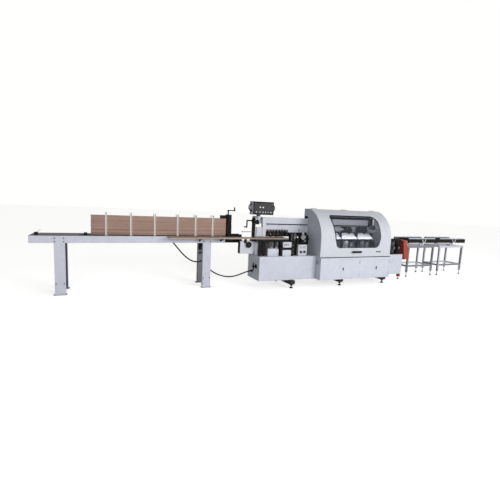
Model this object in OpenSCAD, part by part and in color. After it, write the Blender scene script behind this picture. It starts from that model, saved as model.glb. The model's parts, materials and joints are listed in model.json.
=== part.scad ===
// Long edge banding line: strip magazine and feeder, banding machine under a hood, outfeed tables.
// X runs along the line in feed direction, Y away from the operator, Z up.
// The origin is on the floor at the middle of the line's outline.

/* [Line layout] */
// Length of the strip feeder's beams
feeder_len = 3280; // [2700:10:4200]
// Gap between the feeder's beams and the infeed base
feeder_gap = 560; // [480:10:900]
// Length of the infeed base
base_infeed_len = 1290; // [1250:10:1800]
// Length of the main base under the hood
base_main_len = 1850; // [1600:10:2600]
// Length of the outfeed base
base_outfeed_len = 610; // [540:10:900]
// Gap between the outfeed base and the first outfeed table
table_gap = 540; // [400:10:900]
// Length of one outfeed table
table_len = 900; // [600:10:1400]
// Space between the two outfeed tables
table_space = 210; // [150:10:500]

/* [Feeder] */
// Height of the top of the feeder's beams, where the strips run
work_h = 985; // [900:5:1080]
// Height of a beam
beam_h = 120; // [80:5:160]
// Width of a beam
beam_w = 60; // [50:5:100]
// Wall of the beam tubes
beam_wall = 5; // [3:1:8]
// Depth of the feeder over both beams
feeder_depth = 440; // [420:10:700]
// Width of a leg channel
leg_w = 160; // [120:5:200]
// Thickness of the leg's plate
leg_t = 6; // [4:1:8]
// Thickness of the table plate
table_t = 8; // [5:1:12]
// Width of the slot that the pusher's neck runs in
slot_w = 16; // [12:1:30]
// Diameter of the pusher's rodless cylinder
cylinder_d = 50; // [40:5:70]

/* [Magazine] */
// Length of a wood strip
strip_len = 2410; // [1800:10:2440]
// Width of a wood strip
strip_w = 130; // [60:5:150]
// Thickness of a wood strip
strip_t = 18; // [6:1:24]
// Strips in the stack
strip_n = 18; // [8:1:24]
// Diameter of the gate's screw
screw_d = 12; // [10:1:20]

/* [Machine] */
// Distance from the floor to the underside of the bases
base_clear = 165; // [140:5:220]
// Height of the infeed base's top
base_infeed_top = 645; // [600:5:680]
// Height of the main base's top
base_main_top = 620; // [580:5:680]
// Height of the outfeed base's top
base_outfeed_top = 630; // [580:5:680]
// Sheet thickness of the bases
sheet = 6; // [3:1:8]
// Radius of the hood's front curve
hood_r = 640; // [520:10:700]
// Height of the hood's flat top
hood_top = 1600; // [1560:10:1700]
// Thickness of the hood's cover
cover_t = 6; // [4:1:10]
// Length of the window along the line
window_len = 1235; // [800:5:1400]
// Outer diameter of a pressure roller
roller_d = 90; // [70:5:110]
// Width of a pressure roller
roller_w = 40; // [30:5:44]
// Width of the control box
box_w = 438; // [360:2:500]
// Height of the control box
box_h = 256; // [200:2:300]
// Diameter of the fence's handwheel
handwheel_d = 116; // [90:2:150]

/* [Hidden] */
$fn = 48;

// Clearances
run = 0.05;      // radial, shaft in bore
gap = 0.4;       // between faces that slide past each other
fit_gap = 2;     // round doors and panels

// Stations along the line
end_over = 60;
join = 10;
line_len = feeder_len + feeder_gap + base_infeed_len + base_main_len + join + base_outfeed_len
    + table_gap + 2 * table_len + table_space + end_over;
fx0 = -line_len / 2;
fx1 = fx0 + feeder_len;
mx0 = fx1 + feeder_gap;
mx1 = mx0 + base_infeed_len;
mx2 = mx1 + base_main_len;
ox0 = mx2 + join;
ox1 = ox0 + base_outfeed_len;
tx0 = ox1 + table_gap;
tx1 = tx0 + table_len + table_space;

// Feeder places
fy0 = 50;                        // front face of the front beam
fy1 = fy0 + feeder_depth;        // back face of the rear beam
beam_z0 = work_h - beam_h;
table_z = work_h + table_t;      // top of the table plate
leg_d = 60;
leg_stations = [430, feeder_len - 360];
cyl_z = work_h - 36 - cylinder_d / 2;    // axis of the pusher's cylinder
bolt_d = 12;
bolt_head = 7;
strip_y = fy0 + 125;             // middle of the strip's path
push_t = 12;
stack_z = table_z + push_t + 2;  // underside of the lowest strip
strip_pitch = strip_t + 0.25;
stack_top = stack_z + strip_n * strip_pitch;
stack_x1 = fx1 + 26;
stack_x0 = stack_x1 - strip_len;
post_t = 4;
post_w = 30;
post_flange = 26;
post_foot = 50;
post_top = stack_top + 52;
post_fractions = [0.1, 0.268, 0.437, 0.608, 0.749, 0.888];

// Gate places
gate_x0 = stack_x1 + 29;
gate_len = 82;
gate_plate_len = 306;
gate_plate_t = 14;
gate_top = stack_top + 78;
gate_w = strip_w + 20;
pass_h = stack_z - table_z + strip_t + 5;
slide_t = 12;
screw_x = gate_x0 + 33;
weight_h = 60;

// Machine places
base_y0 = -390;
base_y1 = 170;
main_y0 = -560;
outfeed_y0 = -310;
track_y = 140;                   // middle of the feed chain
track_z = work_h - 25;           // top of the feed chain's pads
board_len = strip_len;
board_t = 24;
board_w = 206;
board_x1 = mx0 + 735;
board_x0 = board_x1 - board_len;
board_y1 = fy0 - 14;
rail_h = 36;
rail_z = work_h - board_t - rail_h;
beam_under = 1258;
beam_top = 1388;
beam_y0 = 50;
beam_y1 = 170;
beam_x0 = mx0 + 215;
beam_x1 = mx2 - 175;
roller_z = work_h + 5 + roller_d / 2;
roller_y = beam_y0 + 10;
roller_x = [for (i = [0:2]) mx0 + 300 + 135 * i];
axle_d = 16;
post_x0 = mx0 + 2;
post_size = 68;
post_y0 = board_y1 + 4;
post_y1 = post_y0 + 30;
post_head = 1375;
crank_z = 1313;
crank_y = (post_y0 + post_y1) / 2;
box_z = 1440;
box_d = 200;
box_t = 4;
box_x0 = mx0 - 48;
box_y0 = -100;
swivel_x = mx0 + 120;
swivel_y = 30;
knob_d = 26;
dial_z = box_z + 0.2 * box_h;
unit_y0 = -150;
wheel_x = mx0 - 152;
wheel_z = 852;
reg_y0 = -320;
reg_x0 = mx1 - 405;
reg_w = 205;
reg_z0 = base_infeed_top + 7;
reg_h = 215;
reg_knob_z = reg_z0 + 70;
lever_x = mx1 - 375;
lever_y = -230;
lever_z = 965;
band_x = mx1 - 261;
band_y = -250;
band_z = 1012;
band_d = 100;

// Hood profile: the front face is vertical up to curve_z, then a curve of hood_r
hood_y0 = main_y0 + 30;
curve_y = hood_y0 + hood_r;
hood_flat = 160;                 // half width of the flat that cuts the curve's top
curve_z = hood_top - sqrt(pow(hood_r, 2) - pow(hood_flat, 2));
hood_back_y = 185;
hood_hinge_y = 20;
tunnel_top = beam_top + 50;       // top of the opening that the beam and the panels pass
cover_x0 = mx1 - 10;
cover_x1 = mx2 - 8;
cover_z0 = base_main_top + 12;
window_x0 = (mx1 + mx2 - window_len) / 2 - 10;
window_z0 = 820;
window_z1 = 1480;
window_r = 130;
window_lean = 60;
trim_w = 10;
grip_len = 240;
grip_x = mx1 + 775;
grip_z = 738;
hinge_d = 13;
pin_d = 6;

// Doors of the main base
door_z0 = base_clear + 30;
door_z1 = base_main_top - 45;
door_w = [490, 420];
door_x0 = [mx1 + 505, mx2 - 455];
door_t = 4;
latch_in = 60;

// Feet
foot_h = 90;
foot_w = 100;
foot_stations = [mx0 + 725, mx1 + 627, mx2 - 37];
pad_y = [base_y0 - 10, 270];

// Free cable: hand-set points in part coordinates
cable_d = 26;
cable_sides = 10;
cable_steps = 3;
cable_route = [[-2810, 130, 855], [-2787, 130, 826], [-2740, 130, 768], [-2687, 130, 705],
    [-2640, 130, 652], [-2590, 130, 603], [-2540, 130, 562], [-2492, 130, 530], [-2444, 130, 506],
    [-2394, 130, 492], [-2345, 130, 488], [-2300, 130, 495], [-2262, 130, 512], [-2225, 130, 525],
    [-2190, 130, 512], [-2166, 130, 474], [-2145, 130, 420], [-2112, 130, 360], [-2068, 130, 306],
    [-1989, 115, 256], [-1912, 95, 222], [-1816, 65, 196], [-1721, 35, 189], [-1643, 15, 198],
    [-1567, -5, 219], [-1481, -30, 254], [-1410, -52, 286], [-1355, -68, 306], [-1310, -76, 315]];

// ---------------------------------------------------------------- helpers

module at_leg_stations() {
    for (s = leg_stations) translate([fx0 + s, 0, 0]) children();
}

// A box given by its low and high corners
module block(a, b) {
    translate(a) cube(b - a);
}

// Front piece and its copy mirrored about the feeder's middle plane
module both_sides() {
    children();
    translate([0, fy0 + fy1, 0]) mirror([0, 1, 0]) children();
}

module rod_x(p, len, d) { translate(p) rotate([0, 90, 0]) cylinder(h = len, d = d); }
module rod_y(p, len, d) { translate(p) rotate([-90, 0, 0]) cylinder(h = len, d = d); }
module rod_z(p, len, d) { translate(p) cylinder(h = len, d = d); }

// Tube along X with open ends
module tube_x(a, b, wall) {
    difference() {
        block(a, b);
        block([a[0] - 1, a[1] + wall, a[2] + wall], [b[0] + 1, b[1] - wall, b[2] - wall]);
    }
}

// Steel sheet box, open below
module sheet_box(a, b, wall) {
    difference() {
        block(a, b);
        block([a[0] + wall, a[1] + wall, a[2] - 1], [b[0] - wall, b[1] - wall, b[2] - wall]);
    }
}

// Rounded slot through a plate, along Z, cut along Y
module slot_cut(x, z0, z1, w, y0, y1) {
    rod_y([x, y0, z0 + w / 2], y1 - y0, w);
    rod_y([x, y0, z1 - w / 2], y1 - y0, w);
    block([x - w / 2, y0, z0 + w / 2], [x + w / 2, y1, z1 - w / 2]);
}

// ---------------------------------------------------------------- feeder

// Ties join the two beams below the pusher's cylinder
tie_w = 60;
tie_n = 4;
tie_x = [for (i = [0:tie_n - 1]) fx0 + 2 * tie_w + i * (feeder_len - 5 * tie_w) / (tie_n - 1)];
tie_top = cyl_z - cylinder_d / 2 - 4;

module feeder_frame() {
    color("gainsboro") {
        both_sides() {
            tube_x([fx0 + 4, fy0, beam_z0], [fx1 - 4, fy0 + beam_w, work_h], beam_wall);
            for (x = [fx0, fx1 - 4]) block([x, fy0, beam_z0], [x + 4, fy0 + beam_w, work_h]);
        }
        for (x = tie_x) block([x, fy0 + beam_w, beam_z0 + 2], [x + tie_w, fy1 - beam_w, tie_top]);
    }
}

module leg_channel() {
    half = leg_w / 2;
    block([-half, fy0 - leg_t, 30], [half, fy0, work_h - 1]);
    for (x = [-half, half - leg_t])
        block([x, fy0, 30], [x + leg_t, fy0 + leg_d, beam_z0 - 0.5]);
}

module feeder_legs() {
    color("lightgray") at_leg_stations() both_sides() leg_channel();
}

module foot_bracket() {
    y1 = fy0 - leg_t;
    difference() {
        block([-leg_w / 2 + 4, y1 - leg_t, leg_t], [leg_w / 2 - 4, y1, 215]);
        for (x = [-58, 58]) slot_cut(x, 59, 143, 14, y1 - leg_t - 1, y1 + 1);
        for (x = [-58, 58]) rod_y([x, y1 - leg_t - 1, 186], leg_t + 2, bolt_d + 1);
    }
    block([-leg_w / 2 - 20, y1 - 60, 0], [leg_w / 2 + 20, y1 + leg_d, leg_t]);
}

module feeder_feet() {
    color("silver") at_leg_stations() both_sides() foot_bracket();
}

module bolt_y(x, y, z) {
    translate([x, y, z]) rotate([90, 0, 0]) cylinder(h = bolt_head, d = 1.6 * bolt_d, $fn = 6);
}

module feeder_bolts() {
    color("dimgray") at_leg_stations() both_sides() {
        for (x = [-64, 64], z = [work_h - 39, work_h - 98]) bolt_y(x, fy0 - leg_t, z);
        for (x = [-58, 58]) bolt_y(x, fy0 - 2 * leg_t, 186);
    }
}

slot_x0 = fx0 + 60;
slot_x1 = fx1 - 40;

module feed_table() {
    color("dimgray") difference() {
        block([fx0 + 10, fy0 + 2, work_h], [fx1 - 2, fy1 - 2, table_z]);
        block([slot_x0, strip_y - slot_w / 2, work_h - 1], [slot_x1, strip_y + slot_w / 2, table_z + 1]);
    }
}

switch_x = fx0 + 100;
switch_y = strip_y - 79;
whisker_z = table_z + 37;

module limit_switches() {
    color("black") {
        for (x = [switch_x, switch_x + 715])
            block([x - 25, switch_y, table_z], [x + 25, switch_y + 40, table_z + 46]);
        rod_y([switch_x, switch_y + 40, whisker_z], 14, 6);
    }
}

module switch_whisker() {
    color("silver") translate([switch_x, switch_y + 40.5, whisker_z]) {
        difference() {
            rod_y([0, 0, 0], 10, 14);
            rod_y([0, -1, 0], 12, 6 + 2 * run);
        }
        rotate([0, 52, 0]) rod_z([0, 5, 6.5], 78, 5);
    }
}

push_len = 180;
push_x1 = stack_x0 - 3;
push_x = push_x1 - push_len;

module pusher() {
    neck = slot_w - 4;
    color("black") {
        block([push_x, strip_y - 30, table_z + 1], [push_x1, strip_y + 30, table_z + 1 + push_t]);
        block([push_x + 70, strip_y - neck / 2, work_h - 14],
            [push_x + 110, strip_y + neck / 2, table_z + 1]);
        block([push_x + 40, strip_y - 30, work_h - 35.5], [push_x + 140, strip_y + 30, work_h - 14]);
    }
}

module pusher_cylinder() {
    color("silver") {
        rod_x([slot_x0, strip_y, cyl_z], slot_x1 - slot_x0, cylinder_d);
        for (x = [slot_x0 - 40, slot_x1])
            block([x, strip_y - 35, cyl_z - 35], [x + 40, strip_y + 35, work_h]);
    }
}

// Angle post in front of the stack, with a foot and a ledge that carries the stack
module post_front() {
    y1 = strip_y - strip_w / 2 - 0.5;
    block([-post_w / 2, y1 - post_t, table_z], [post_w / 2, y1, post_top]);
    block([post_w / 2 - post_t, y1 - post_flange, table_z], [post_w / 2, y1, post_top - 0.1]);
    block([-post_foot / 2, y1 - post_flange, table_z], [post_foot / 2, y1, table_z + post_t]);
    block([-post_w / 2, y1 - 1, table_z], [post_w / 2, y1 + 26, stack_z]);
}

module magazine_posts() {
    color("whitesmoke") for (f = post_fractions) translate([stack_x0 + f * strip_len, 0, 0]) {
        post_front();
        translate([0, 2 * strip_y, 0]) mirror([0, 1, 0]) post_front();
    }
}

module strip_stack() {
    color("rosybrown") for (i = [0:strip_n - 1]) translate([0, 0, stack_z + i * strip_pitch])
        block([stack_x0, strip_y - strip_w / 2, 0], [stack_x1, strip_y + strip_w / 2, strip_t]);
}

module holddown_weight() {
    z0 = stack_top + 1;
    color("black") {
        block([gate_x0 - 120, strip_y - 58, z0], [gate_x0 - 20, strip_y + 58, z0 + weight_h]);
        block([gate_x0 - 21, strip_y - 20, z0], [gate_x0 - 1, strip_y + 20, z0 + weight_h - 4]);
        block([gate_x0 - 12, strip_y - 4.8, z0 - 110], [gate_x0 - 1, strip_y + 4.8, z0 + 1]);
        block([gate_x0 - 1.5, strip_y - 4.8, z0 - 110], [gate_x0 + 12, strip_y + 4.8, z0 + weight_h - 4]);
    }
}

// Column with the strip's passage and the screw's shaft, plate with side cheeks, bracket to the beam
module gate_frame() {
    x1 = gate_x0 + gate_len;
    plate_x1 = gate_x0 + gate_plate_len;
    color([0.1, 0.1, 0.11]) {
        difference() {
            block([gate_x0, strip_y - gate_w / 2, table_z], [x1, strip_y + gate_w / 2, gate_top]);
            block([gate_x0 - 1, strip_y - strip_w / 2 - 2, table_z - 1],
                [x1 + 1, strip_y + strip_w / 2 + 2, table_z + pass_h]);
            block([gate_x0 - 1, strip_y - 5.2, table_z + 150], [gate_x0 + 13, strip_y + 5.2, gate_top + 1]);
            block([screw_x - 16, strip_y - 20, table_z + pass_h + 100],
                [x1 + 1, strip_y + 20, gate_top - 20]);
            rod_z([screw_x, strip_y, gate_top - 21], 22, screw_d + 2 * run);
        }
        block([fx1 + 2, fy0 + 10, table_z - gate_plate_t], [plate_x1, strip_y + 115, table_z]);
        for (s = [-1, 1]) translate([0, strip_y + s * (strip_w / 2 + 8), 0])
            block([x1 + 0.5, -6, table_z], [plate_x1, 6, table_z + 37]);
        block([fx1, fy0, beam_z0 + 5], [plate_x1 - 10, fy0 + beam_w, table_z - gate_plate_t]);
    }
}

module gate_slide() {
    x0 = gate_x0 + gate_len + gap;
    z0 = table_z + pass_h + 2;
    color("dimgray") difference() {
        union() {
            block([x0, strip_y - 55, z0], [x0 + slide_t, strip_y + 55, z0 + 168]);
            block([screw_x - 15, strip_y - 19, z0 + 130], [x0 + 1, strip_y + 19, z0 + 168]);
        }
        rod_z([screw_x, strip_y, z0 + 129], 40, screw_d + 2 * run);
    }
}

crank_arm = 132;

module gate_crank() {
    z0 = table_z + pass_h + 110;
    z1 = gate_top + 72;
    color("black") {
        rod_z([screw_x, strip_y, z0], z1 - z0, screw_d);
        rod_z([screw_x, strip_y, gate_top + 0.5], 12, screw_d + 14);
        rod_z([screw_x, strip_y, gate_top + 12], z1 - gate_top - 13, screw_d + 6);
        block([screw_x, strip_y - 10, z1 - 1], [screw_x + crank_arm, strip_y + 10, z1 + 13]);
        for (x = [screw_x, screw_x + crank_arm]) rod_z([x, strip_y, z1 - 1], 14, 28);
        rod_z([screw_x + crank_arm, strip_y, z1 + 12], 60, 22);
    }
}

// ---------------------------------------------------------------- infeed board and its supports

module infeed_board() {
    color("tan") block([board_x0, board_y1 - board_w, work_h - board_t], [board_x1, board_y1, work_h]);
}

module gusset(x) {
    translate([x, 0, 0]) rotate([90, 0, 90]) linear_extrude(8)
        polygon([[fy0, rail_z - 40], [fy0, rail_z + rail_h], [board_y1 - board_w + 20, rail_z + rail_h],
            [board_y1 - board_w + 20, rail_z + rail_h - 12]]);
}

post_wide = 42;

module board_supports() {
    z1 = rail_z + rail_h;
    color([0.16, 0.13, 0.12]) {
        for (x = [fx1 - 520, fx1 - 100]) gusset(x);
        block([mx0 - 60, board_y1 - board_w - 120, rail_z], [board_x1 - 78, board_y1 - board_w + 40, z1]);
        for (x = [mx0 + 20, mx0 + 107])
            block([x, board_y1 - board_w - 115, base_infeed_top],
                [x + post_wide, board_y1 - board_w - 80, rail_z]);
    }
}

// ---------------------------------------------------------------- cable

function unit(v) = v / norm(v);
function spline(p0, p1, p2, p3, t) = 0.5 * ((2 * p1) + (p2 - p0) * t
    + (2 * p0 - 5 * p1 + 4 * p2 - p3) * t * t + (3 * p1 - p0 - 3 * p2 + p3) * t * t * t);
cable_last = len(cable_route) - 1;
cable_points = [for (i = [0:cable_last - 1], k = [0:cable_steps - 1])
        spline(cable_route[max(i - 1, 0)], cable_route[i], cable_route[i + 1],
            cable_route[min(i + 2, cable_last)], k / cable_steps)];
cable_path = concat([for (i = [0:2:len(cable_points) - 1]) cable_points[i]], [cable_route[cable_last]]);

module swept_tube(path, d, sides) {
    n = len(path);
    tangents = [for (i = [0:n - 1]) unit(path[min(i + 1, n - 1)] - path[max(i - 1, 0)])];
    rings = [for (i = [0:n - 1]) let (t = tangents[i], u = unit(cross([0, 1, 0.02], t)), v = cross(t, u))
        for (k = [0:sides - 1]) path[i] + d / 2 * (cos(360 * k / sides) * u + sin(360 * k / sides) * v)];
    skin = [for (i = [0:n - 2], k = [0:sides - 1]) let (a = i * sides + k, b = i * sides + (k + 1) % sides)
        [a, b, b + sides, a + sides]];
    caps = [[for (k = [sides - 1:-1:0]) k], [for (k = [0:sides - 1]) (n - 1) * sides + k]];
    polyhedron(points = rings, faces = concat(skin, caps));
}

module feeder_cable() {
    color([0.12, 0.12, 0.13]) swept_tube(cable_path, cable_d, cable_sides);
}

gland_l = 45;

// A gland seen along its own axis, ending at the origin where the cable starts
module gland() {
    translate([0, 0, -gland_l]) cylinder(h = gland_l, d = cable_d + 10);
    translate([0, 0, -gland_l]) cylinder(h = 14, d = cable_d + 20, $fn = 6);
}

// Hook on the inside of the leg's plate, which carries the cable at point p
module hook(p) {
    half_w = 10;
    t = 7;
    r = cable_d / 2;
    block([p[0] - half_w, fy0, p[2] - r - t - 1], [p[0] + half_w, p[1] + r + 1 + t, p[2] - r - 1]);
    block([p[0] - half_w, p[1] + r + 1, p[2] - r - 2], [p[0] + half_w, p[1] + r + 1 + t, p[2] + 6]);
}

module cable_glands() {
    a = cable_route[0];
    b = cable_route[cable_last];
    color("black") {
        translate(a) rotate([0, 141.6, 0]) gland();
        block([a[0] - 66, fy0 + beam_w, a[2] + 22], [a[0] - 2, a[1] + 22, beam_z0 + 30]);
        translate(b) rotate([0, -90, 0]) gland();
        hook(cable_route[13]);
    }
}

// ---------------------------------------------------------------- bases

module base_infeed() {
    color("lightsteelblue") sheet_box([mx0, base_y0, base_clear], [mx1 - 1, base_y1, base_infeed_top], sheet);
}

module door_hole(i) {
    block([door_x0[i], main_y0 - 1, door_z0], [door_x0[i] + door_w[i], main_y0 + sheet + 1, door_z1]);
}

// Hinge pins stand in front of the sheet at each door's right edge
module door_pin(i, z) {
    x = door_x0[i] + door_w[i] + 4;
    rod_z([x, main_y0 - 7, z - 26], 52, pin_d);
    block([x - 5, main_y0 - 12, z - 34], [x + 10, main_y0 + 1, z - 25.5]);
    block([x - 5, main_y0 - 12, z + 25.5], [x + 10, main_y0 + 1, z + 34]);
}

door_hinge_z = [door_z0 + 60, door_z1 - 60];

module base_main() {
    color("lightsteelblue") {
        difference() {
            sheet_box([mx1, main_y0, base_clear], [mx2, base_y1, base_main_top], sheet);
            for (i = [0, 1]) door_hole(i);
        }
        for (i = [0, 1], z = door_hinge_z) door_pin(i, z);
    }
}

module base_outfeed() {
    color("lightsteelblue") {
        sheet_box([ox0, outfeed_y0, base_clear], [ox1, base_y1, base_outfeed_top], sheet);
        // Joint between the two bases
        block([mx2, outfeed_y0 + 60, base_clear + 60],
            [ox0 + 0.5, base_y1 - 60, base_outfeed_top - 60]);
    }
}

module door(i) {
    x1 = door_x0[i] + door_w[i];
    latch_x = door_x0[i] + latch_in;
    latch_z = (door_z0 + door_z1) / 2;
    color("lightsteelblue") difference() {
        union() {
            block([door_x0[i] + fit_gap, main_y0, door_z0 + fit_gap],
                [x1 - fit_gap, main_y0 + door_t, door_z1 - fit_gap]);
            for (z = door_hinge_z) {
                rod_z([x1 + 4, main_y0 - 7, z - 25], 50, hinge_d);
                block([x1 - 22, main_y0 - door_t, z - 25], [x1 + 4, main_y0 - gap, z + 25]);
                block([x1 - 22, main_y0 - 1, z - 25], [x1 - fit_gap, main_y0 + 1, z + 25]);
            }
        }
        for (z = door_hinge_z) rod_z([x1 + 4, main_y0 - 7, z - 26], 52, pin_d + 2 * run);
        rod_y([latch_x, main_y0 - 1, latch_z], door_t + 2, 10 + 2 * run);
    }
}

module door_left() { door(0); }
module door_right() { door(1); }

module latch(i) {
    x = door_x0[i] + latch_in;
    z = (door_z0 + door_z1) / 2;
    color("black") {
        rod_y([x, main_y0 - 9, z], door_t + 15, 10);
        rod_y([x, main_y0 - 9, z], 9 - gap, 26);
        block([x - 5, main_y0 - 15, z - 34], [x + 5, main_y0 - 8, z + 34]);
        block([x - 9, main_y0 + door_t + gap, z - 9], [x + 16, main_y0 + door_t + 6, z + 9]);
    }
}

module latch_left() { latch(0); }
module latch_right() { latch(1); }

main_switch_y = -235;
main_switch_z = 435;

module main_switch() {
    color("black") {
        rod_x([mx0 - 52, main_switch_y, main_switch_z], 52 - gap, 34);
        for (half = [[14, 74], [56, 14]])
            block([mx0 - 66, main_switch_y - half[0], main_switch_z - half[1]],
                [mx0 - 50, main_switch_y + half[0], main_switch_z + half[1]]);
    }
}

// Beams across the line under the bases, tapered at both ends
module foot_beams() {
    z0 = base_clear - foot_h;
    y0 = pad_y[0] - 60;
    y1 = pad_y[1] + 60;
    color([0.24, 0.25, 0.28]) for (x = foot_stations)
        translate([x - foot_w / 2, 0, 0]) rotate([90, 0, 90]) linear_extrude(foot_w)
            polygon([[y0, z0 + 40], [y0 + 25, z0], [y1 - 25, z0], [y1, z0 + 40], [y1, base_clear],
                [y0, base_clear]]);
}

table_foot_z = 110;
table_y0 = 10;
table_y1 = 500;
tube = 40;

module pad(p, d, top) {
    translate(p) cylinder(h = 20, d1 = d, d2 = 0.7 * d);
    translate(p) cylinder(h = top, d = 14);
}

guard_leg_x = ox1 + 98;
guard_leg_y = -150;

module levelling_feet() {
    color([0.1, 0.1, 0.1]) {
        for (x = foot_stations, y = pad_y) pad([x, y, 0], 70, base_clear - foot_h);
        for (x0 = [tx0, tx1], x = [tube / 2, table_len - tube / 2], y = [table_y0 + 20, table_y1 - 20])
            pad([x0 + x, y, 0], 56, table_foot_z);
        pad([guard_leg_x, guard_leg_y, 0], 56, 60);
    }
}

// ---------------------------------------------------------------- track and pressure beam

chain_h = 120;
chain_x0 = mx0 + 45;
chain_x1 = ox1 - 45;

bed_half = 68;
bed_wall = 12;
trough_z = track_z - chain_h - 14;
// Start, end and underside of the bed's three lengths
bed_spans = [[mx0 + 30, mx1, base_infeed_top], [mx1, mx2, base_main_top], [ox0, ox1 - 30, base_outfeed_top]];

// Box open below, with the chain's trough in its top
module track_bed() {
    in = bed_half - bed_wall;
    color("darkgray") for (s = bed_spans) difference() {
        block([s[0], track_y - bed_half, s[2]], [s[1], track_y + bed_half, track_z - 12]);
        block([s[0] - 1, track_y - in, trough_z], [s[1] + 1, track_y + in, track_z]);
        block([s[0] + bed_wall, track_y - in, s[2] - 1],
            [s[1] - bed_wall, track_y + in, trough_z - bed_wall]);
    }
}

// Endless feed chain with its two sprockets
module track_chain() {
    r = chain_h / 2;
    color("dimgray") {
        translate([0, track_y + 30, track_z - r]) rotate([90, 0, 0]) linear_extrude(60) difference() {
            chain_outline(r);
            chain_outline(r - 12);
        }
        for (x = [chain_x0 + r, chain_x1 - r]) difference() {
            rod_y([x, track_y - 14, track_z - r], 28, 2 * (r - 12) - 0.6);
            rod_y([x, track_y - 15, track_z - r], 30, 30);
        }
        for (x = [chain_x0 + r, chain_x1 - r])
            rod_y([x, track_y - bed_half + bed_wall, track_z - r], 2 * (bed_half - bed_wall), 30);
    }
}

module chain_outline(r) {
    mid = chain_h / 2;
    translate([chain_x0 + mid, 0]) circle(r);
    translate([chain_x1 - mid, 0]) circle(r);
    translate([chain_x0 + mid, -r]) square([chain_x1 - chain_x0 - 2 * mid, 2 * r]);
}

module drive_gearmotor() {
    x = ox0 + 300;
    color("slategray") {
        block([x - 70, track_y - 230, base_outfeed_top - 190],
            [x + 70, track_y - 90, base_outfeed_top - sheet]);
        rod_x([x - 270, track_y - 160, base_outfeed_top - 110], 200, 130);
        rod_y([x, track_y - 90, base_outfeed_top - 100], 40, 30);
    }
}

// Box beam with its front carrier plate, roller lugs and pins, hold-down shoe, end column and guide block
module pressure_beam() {
    plate_z0 = 1085;
    color("gainsboro") {
        tube_x([beam_x0, beam_y0, beam_under], [beam_x1, beam_y1, beam_top], 8);
        block([beam_x0, beam_y0 + 8, plate_z0], [beam_x1, beam_y0 + 20, beam_under + 1]);
        for (x = roller_x) {
            block([x - 16, roller_y + roller_w + 4, roller_z - 14],
                [x + 16, roller_y + roller_w + 12, beam_under + 1]);
            rod_y([x, roller_y - 2, roller_z], roller_w + 10, axle_d);
        }
        block([mx1 + 60, beam_y0 + 12, work_h + 5], [beam_x1 - 20, beam_y0 + 50, plate_z0 + 10]);
        block([beam_x0 - 15, -22, work_h + 15], [beam_x0 + 60, beam_y0 - 2, beam_top - 3]);
        block([beam_x0 - 15, beam_y0 - 3, beam_under + 10], [beam_x0 + 60, beam_y0 + 1, beam_top - 10]);
        block([beam_x0 - 140, -12, work_h + 15], [beam_x0 - 14, post_y0 - 6, work_h + 205]);
        block([post_x0 + post_size + gap, post_y0 + 2, beam_under],
            [beam_x0 + 1, post_y1 - 2, beam_under + 72]);
    }
}

module pressure_roller(i) {
    color([0.13, 0.12, 0.11]) difference() {
        rod_y([roller_x[i], roller_y, roller_z], roller_w, roller_d);
        rod_y([roller_x[i], roller_y - 1, roller_z], roller_w + 2, axle_d + 2 * run);
    }
}

module pressure_roller_1() { pressure_roller(0); }
module pressure_roller_2() { pressure_roller(1); }
module pressure_roller_3() { pressure_roller(2); }

module beam_post() {
    color([0.14, 0.13, 0.13]) difference() {
        union() {
            block([post_x0, post_y0, base_infeed_top], [post_x0 + post_size, post_y1, post_head]);
            block([post_x0, post_y0 - 14, base_infeed_top],
                [post_x0 + post_size, post_y1, base_infeed_top + 20]);
            rod_x([post_x0 - 10, crank_y, crank_z], 12, 52);
        }
        rod_x([post_x0 - 11, crank_y, crank_z], 52, 20 + 2 * run);
    }
}

height_arm = 128;

module height_crank() {
    x0 = post_x0 - 105;
    color("black") {
        rod_x([x0, crank_y, crank_z], 140, 20);
        rod_x([x0, crank_y, crank_z], 94, 26);
        block([x0 - 16, crank_y - 12, crank_z - height_arm], [x0 + 1, crank_y + 12, crank_z]);
        for (z = [crank_z, crank_z - height_arm]) rod_x([x0 - 16, crank_y, z], 17, 32);
        rod_x([x0 - 70, crank_y, crank_z - height_arm], 55, 26);
    }
}

// ---------------------------------------------------------------- control box

module control_arm() {
    color("gray") {
        block([post_x0 + 8, -30, post_head], [beam_x0 - 75, post_y1, post_head + 32]);
        rod_z([swivel_x, swivel_y, post_head + 31], box_z - post_head - 32, 80);
        rod_z([swivel_x, swivel_y, box_z - 2], 32, 24);
    }
}

module bow_handle(x, side) {
    r = 64;
    translate([x, box_y0 + 0.45 * box_d, box_z + 0.53 * box_h]) rotate([90, 0, 0])
        rotate([0, 0, side > 0 ? -90 : 90]) rotate_extrude(angle = 180) translate([r, 0]) circle(d = 18);
}

module control_box() {
    x1 = box_x0 + box_w;
    color([0.3, 0.31, 0.33]) {
        difference() {
            union() {
                difference() {
                    block([box_x0, box_y0, box_z], [x1, box_y0 + box_d, box_z + box_h]);
                    block([box_x0 + box_t, box_y0 + box_t, box_z + box_t],
                        [x1 - box_t, box_y0 + box_d - box_t, box_z + box_h - box_t]);
                }
                rod_z([swivel_x, swivel_y, box_z + 1], 36, 50);
            }
            rod_z([swivel_x, swivel_y, box_z - 1], 32, 24 + 2 * run);
            for (x = dial_x) rod_y([x, box_y0 - 1, dial_z], 16, 8 + 2 * run);
        }
        bow_handle(box_x0 + 0.5, -1);
        bow_handle(x1 - 0.5, 1);
    }
}

dial_steps = [0.132, 0.31, 0.46, 0.59, 0.72, 0.86];
dial_x = [for (i = [0, 2]) box_x0 + dial_steps[i] * box_w];

module selector(i) {
    color("whitesmoke") {
        rod_y([dial_x[i], box_y0 - 10, dial_z], 10 - gap, knob_d);
        rod_y([dial_x[i], box_y0 - 10, dial_z], 22, 8);
        block([dial_x[i] - 4, box_y0 - 18, dial_z - knob_d / 2 + 1],
            [dial_x[i] + 4, box_y0 - 9, dial_z + knob_d / 2 - 1]);
    }
}

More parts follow.
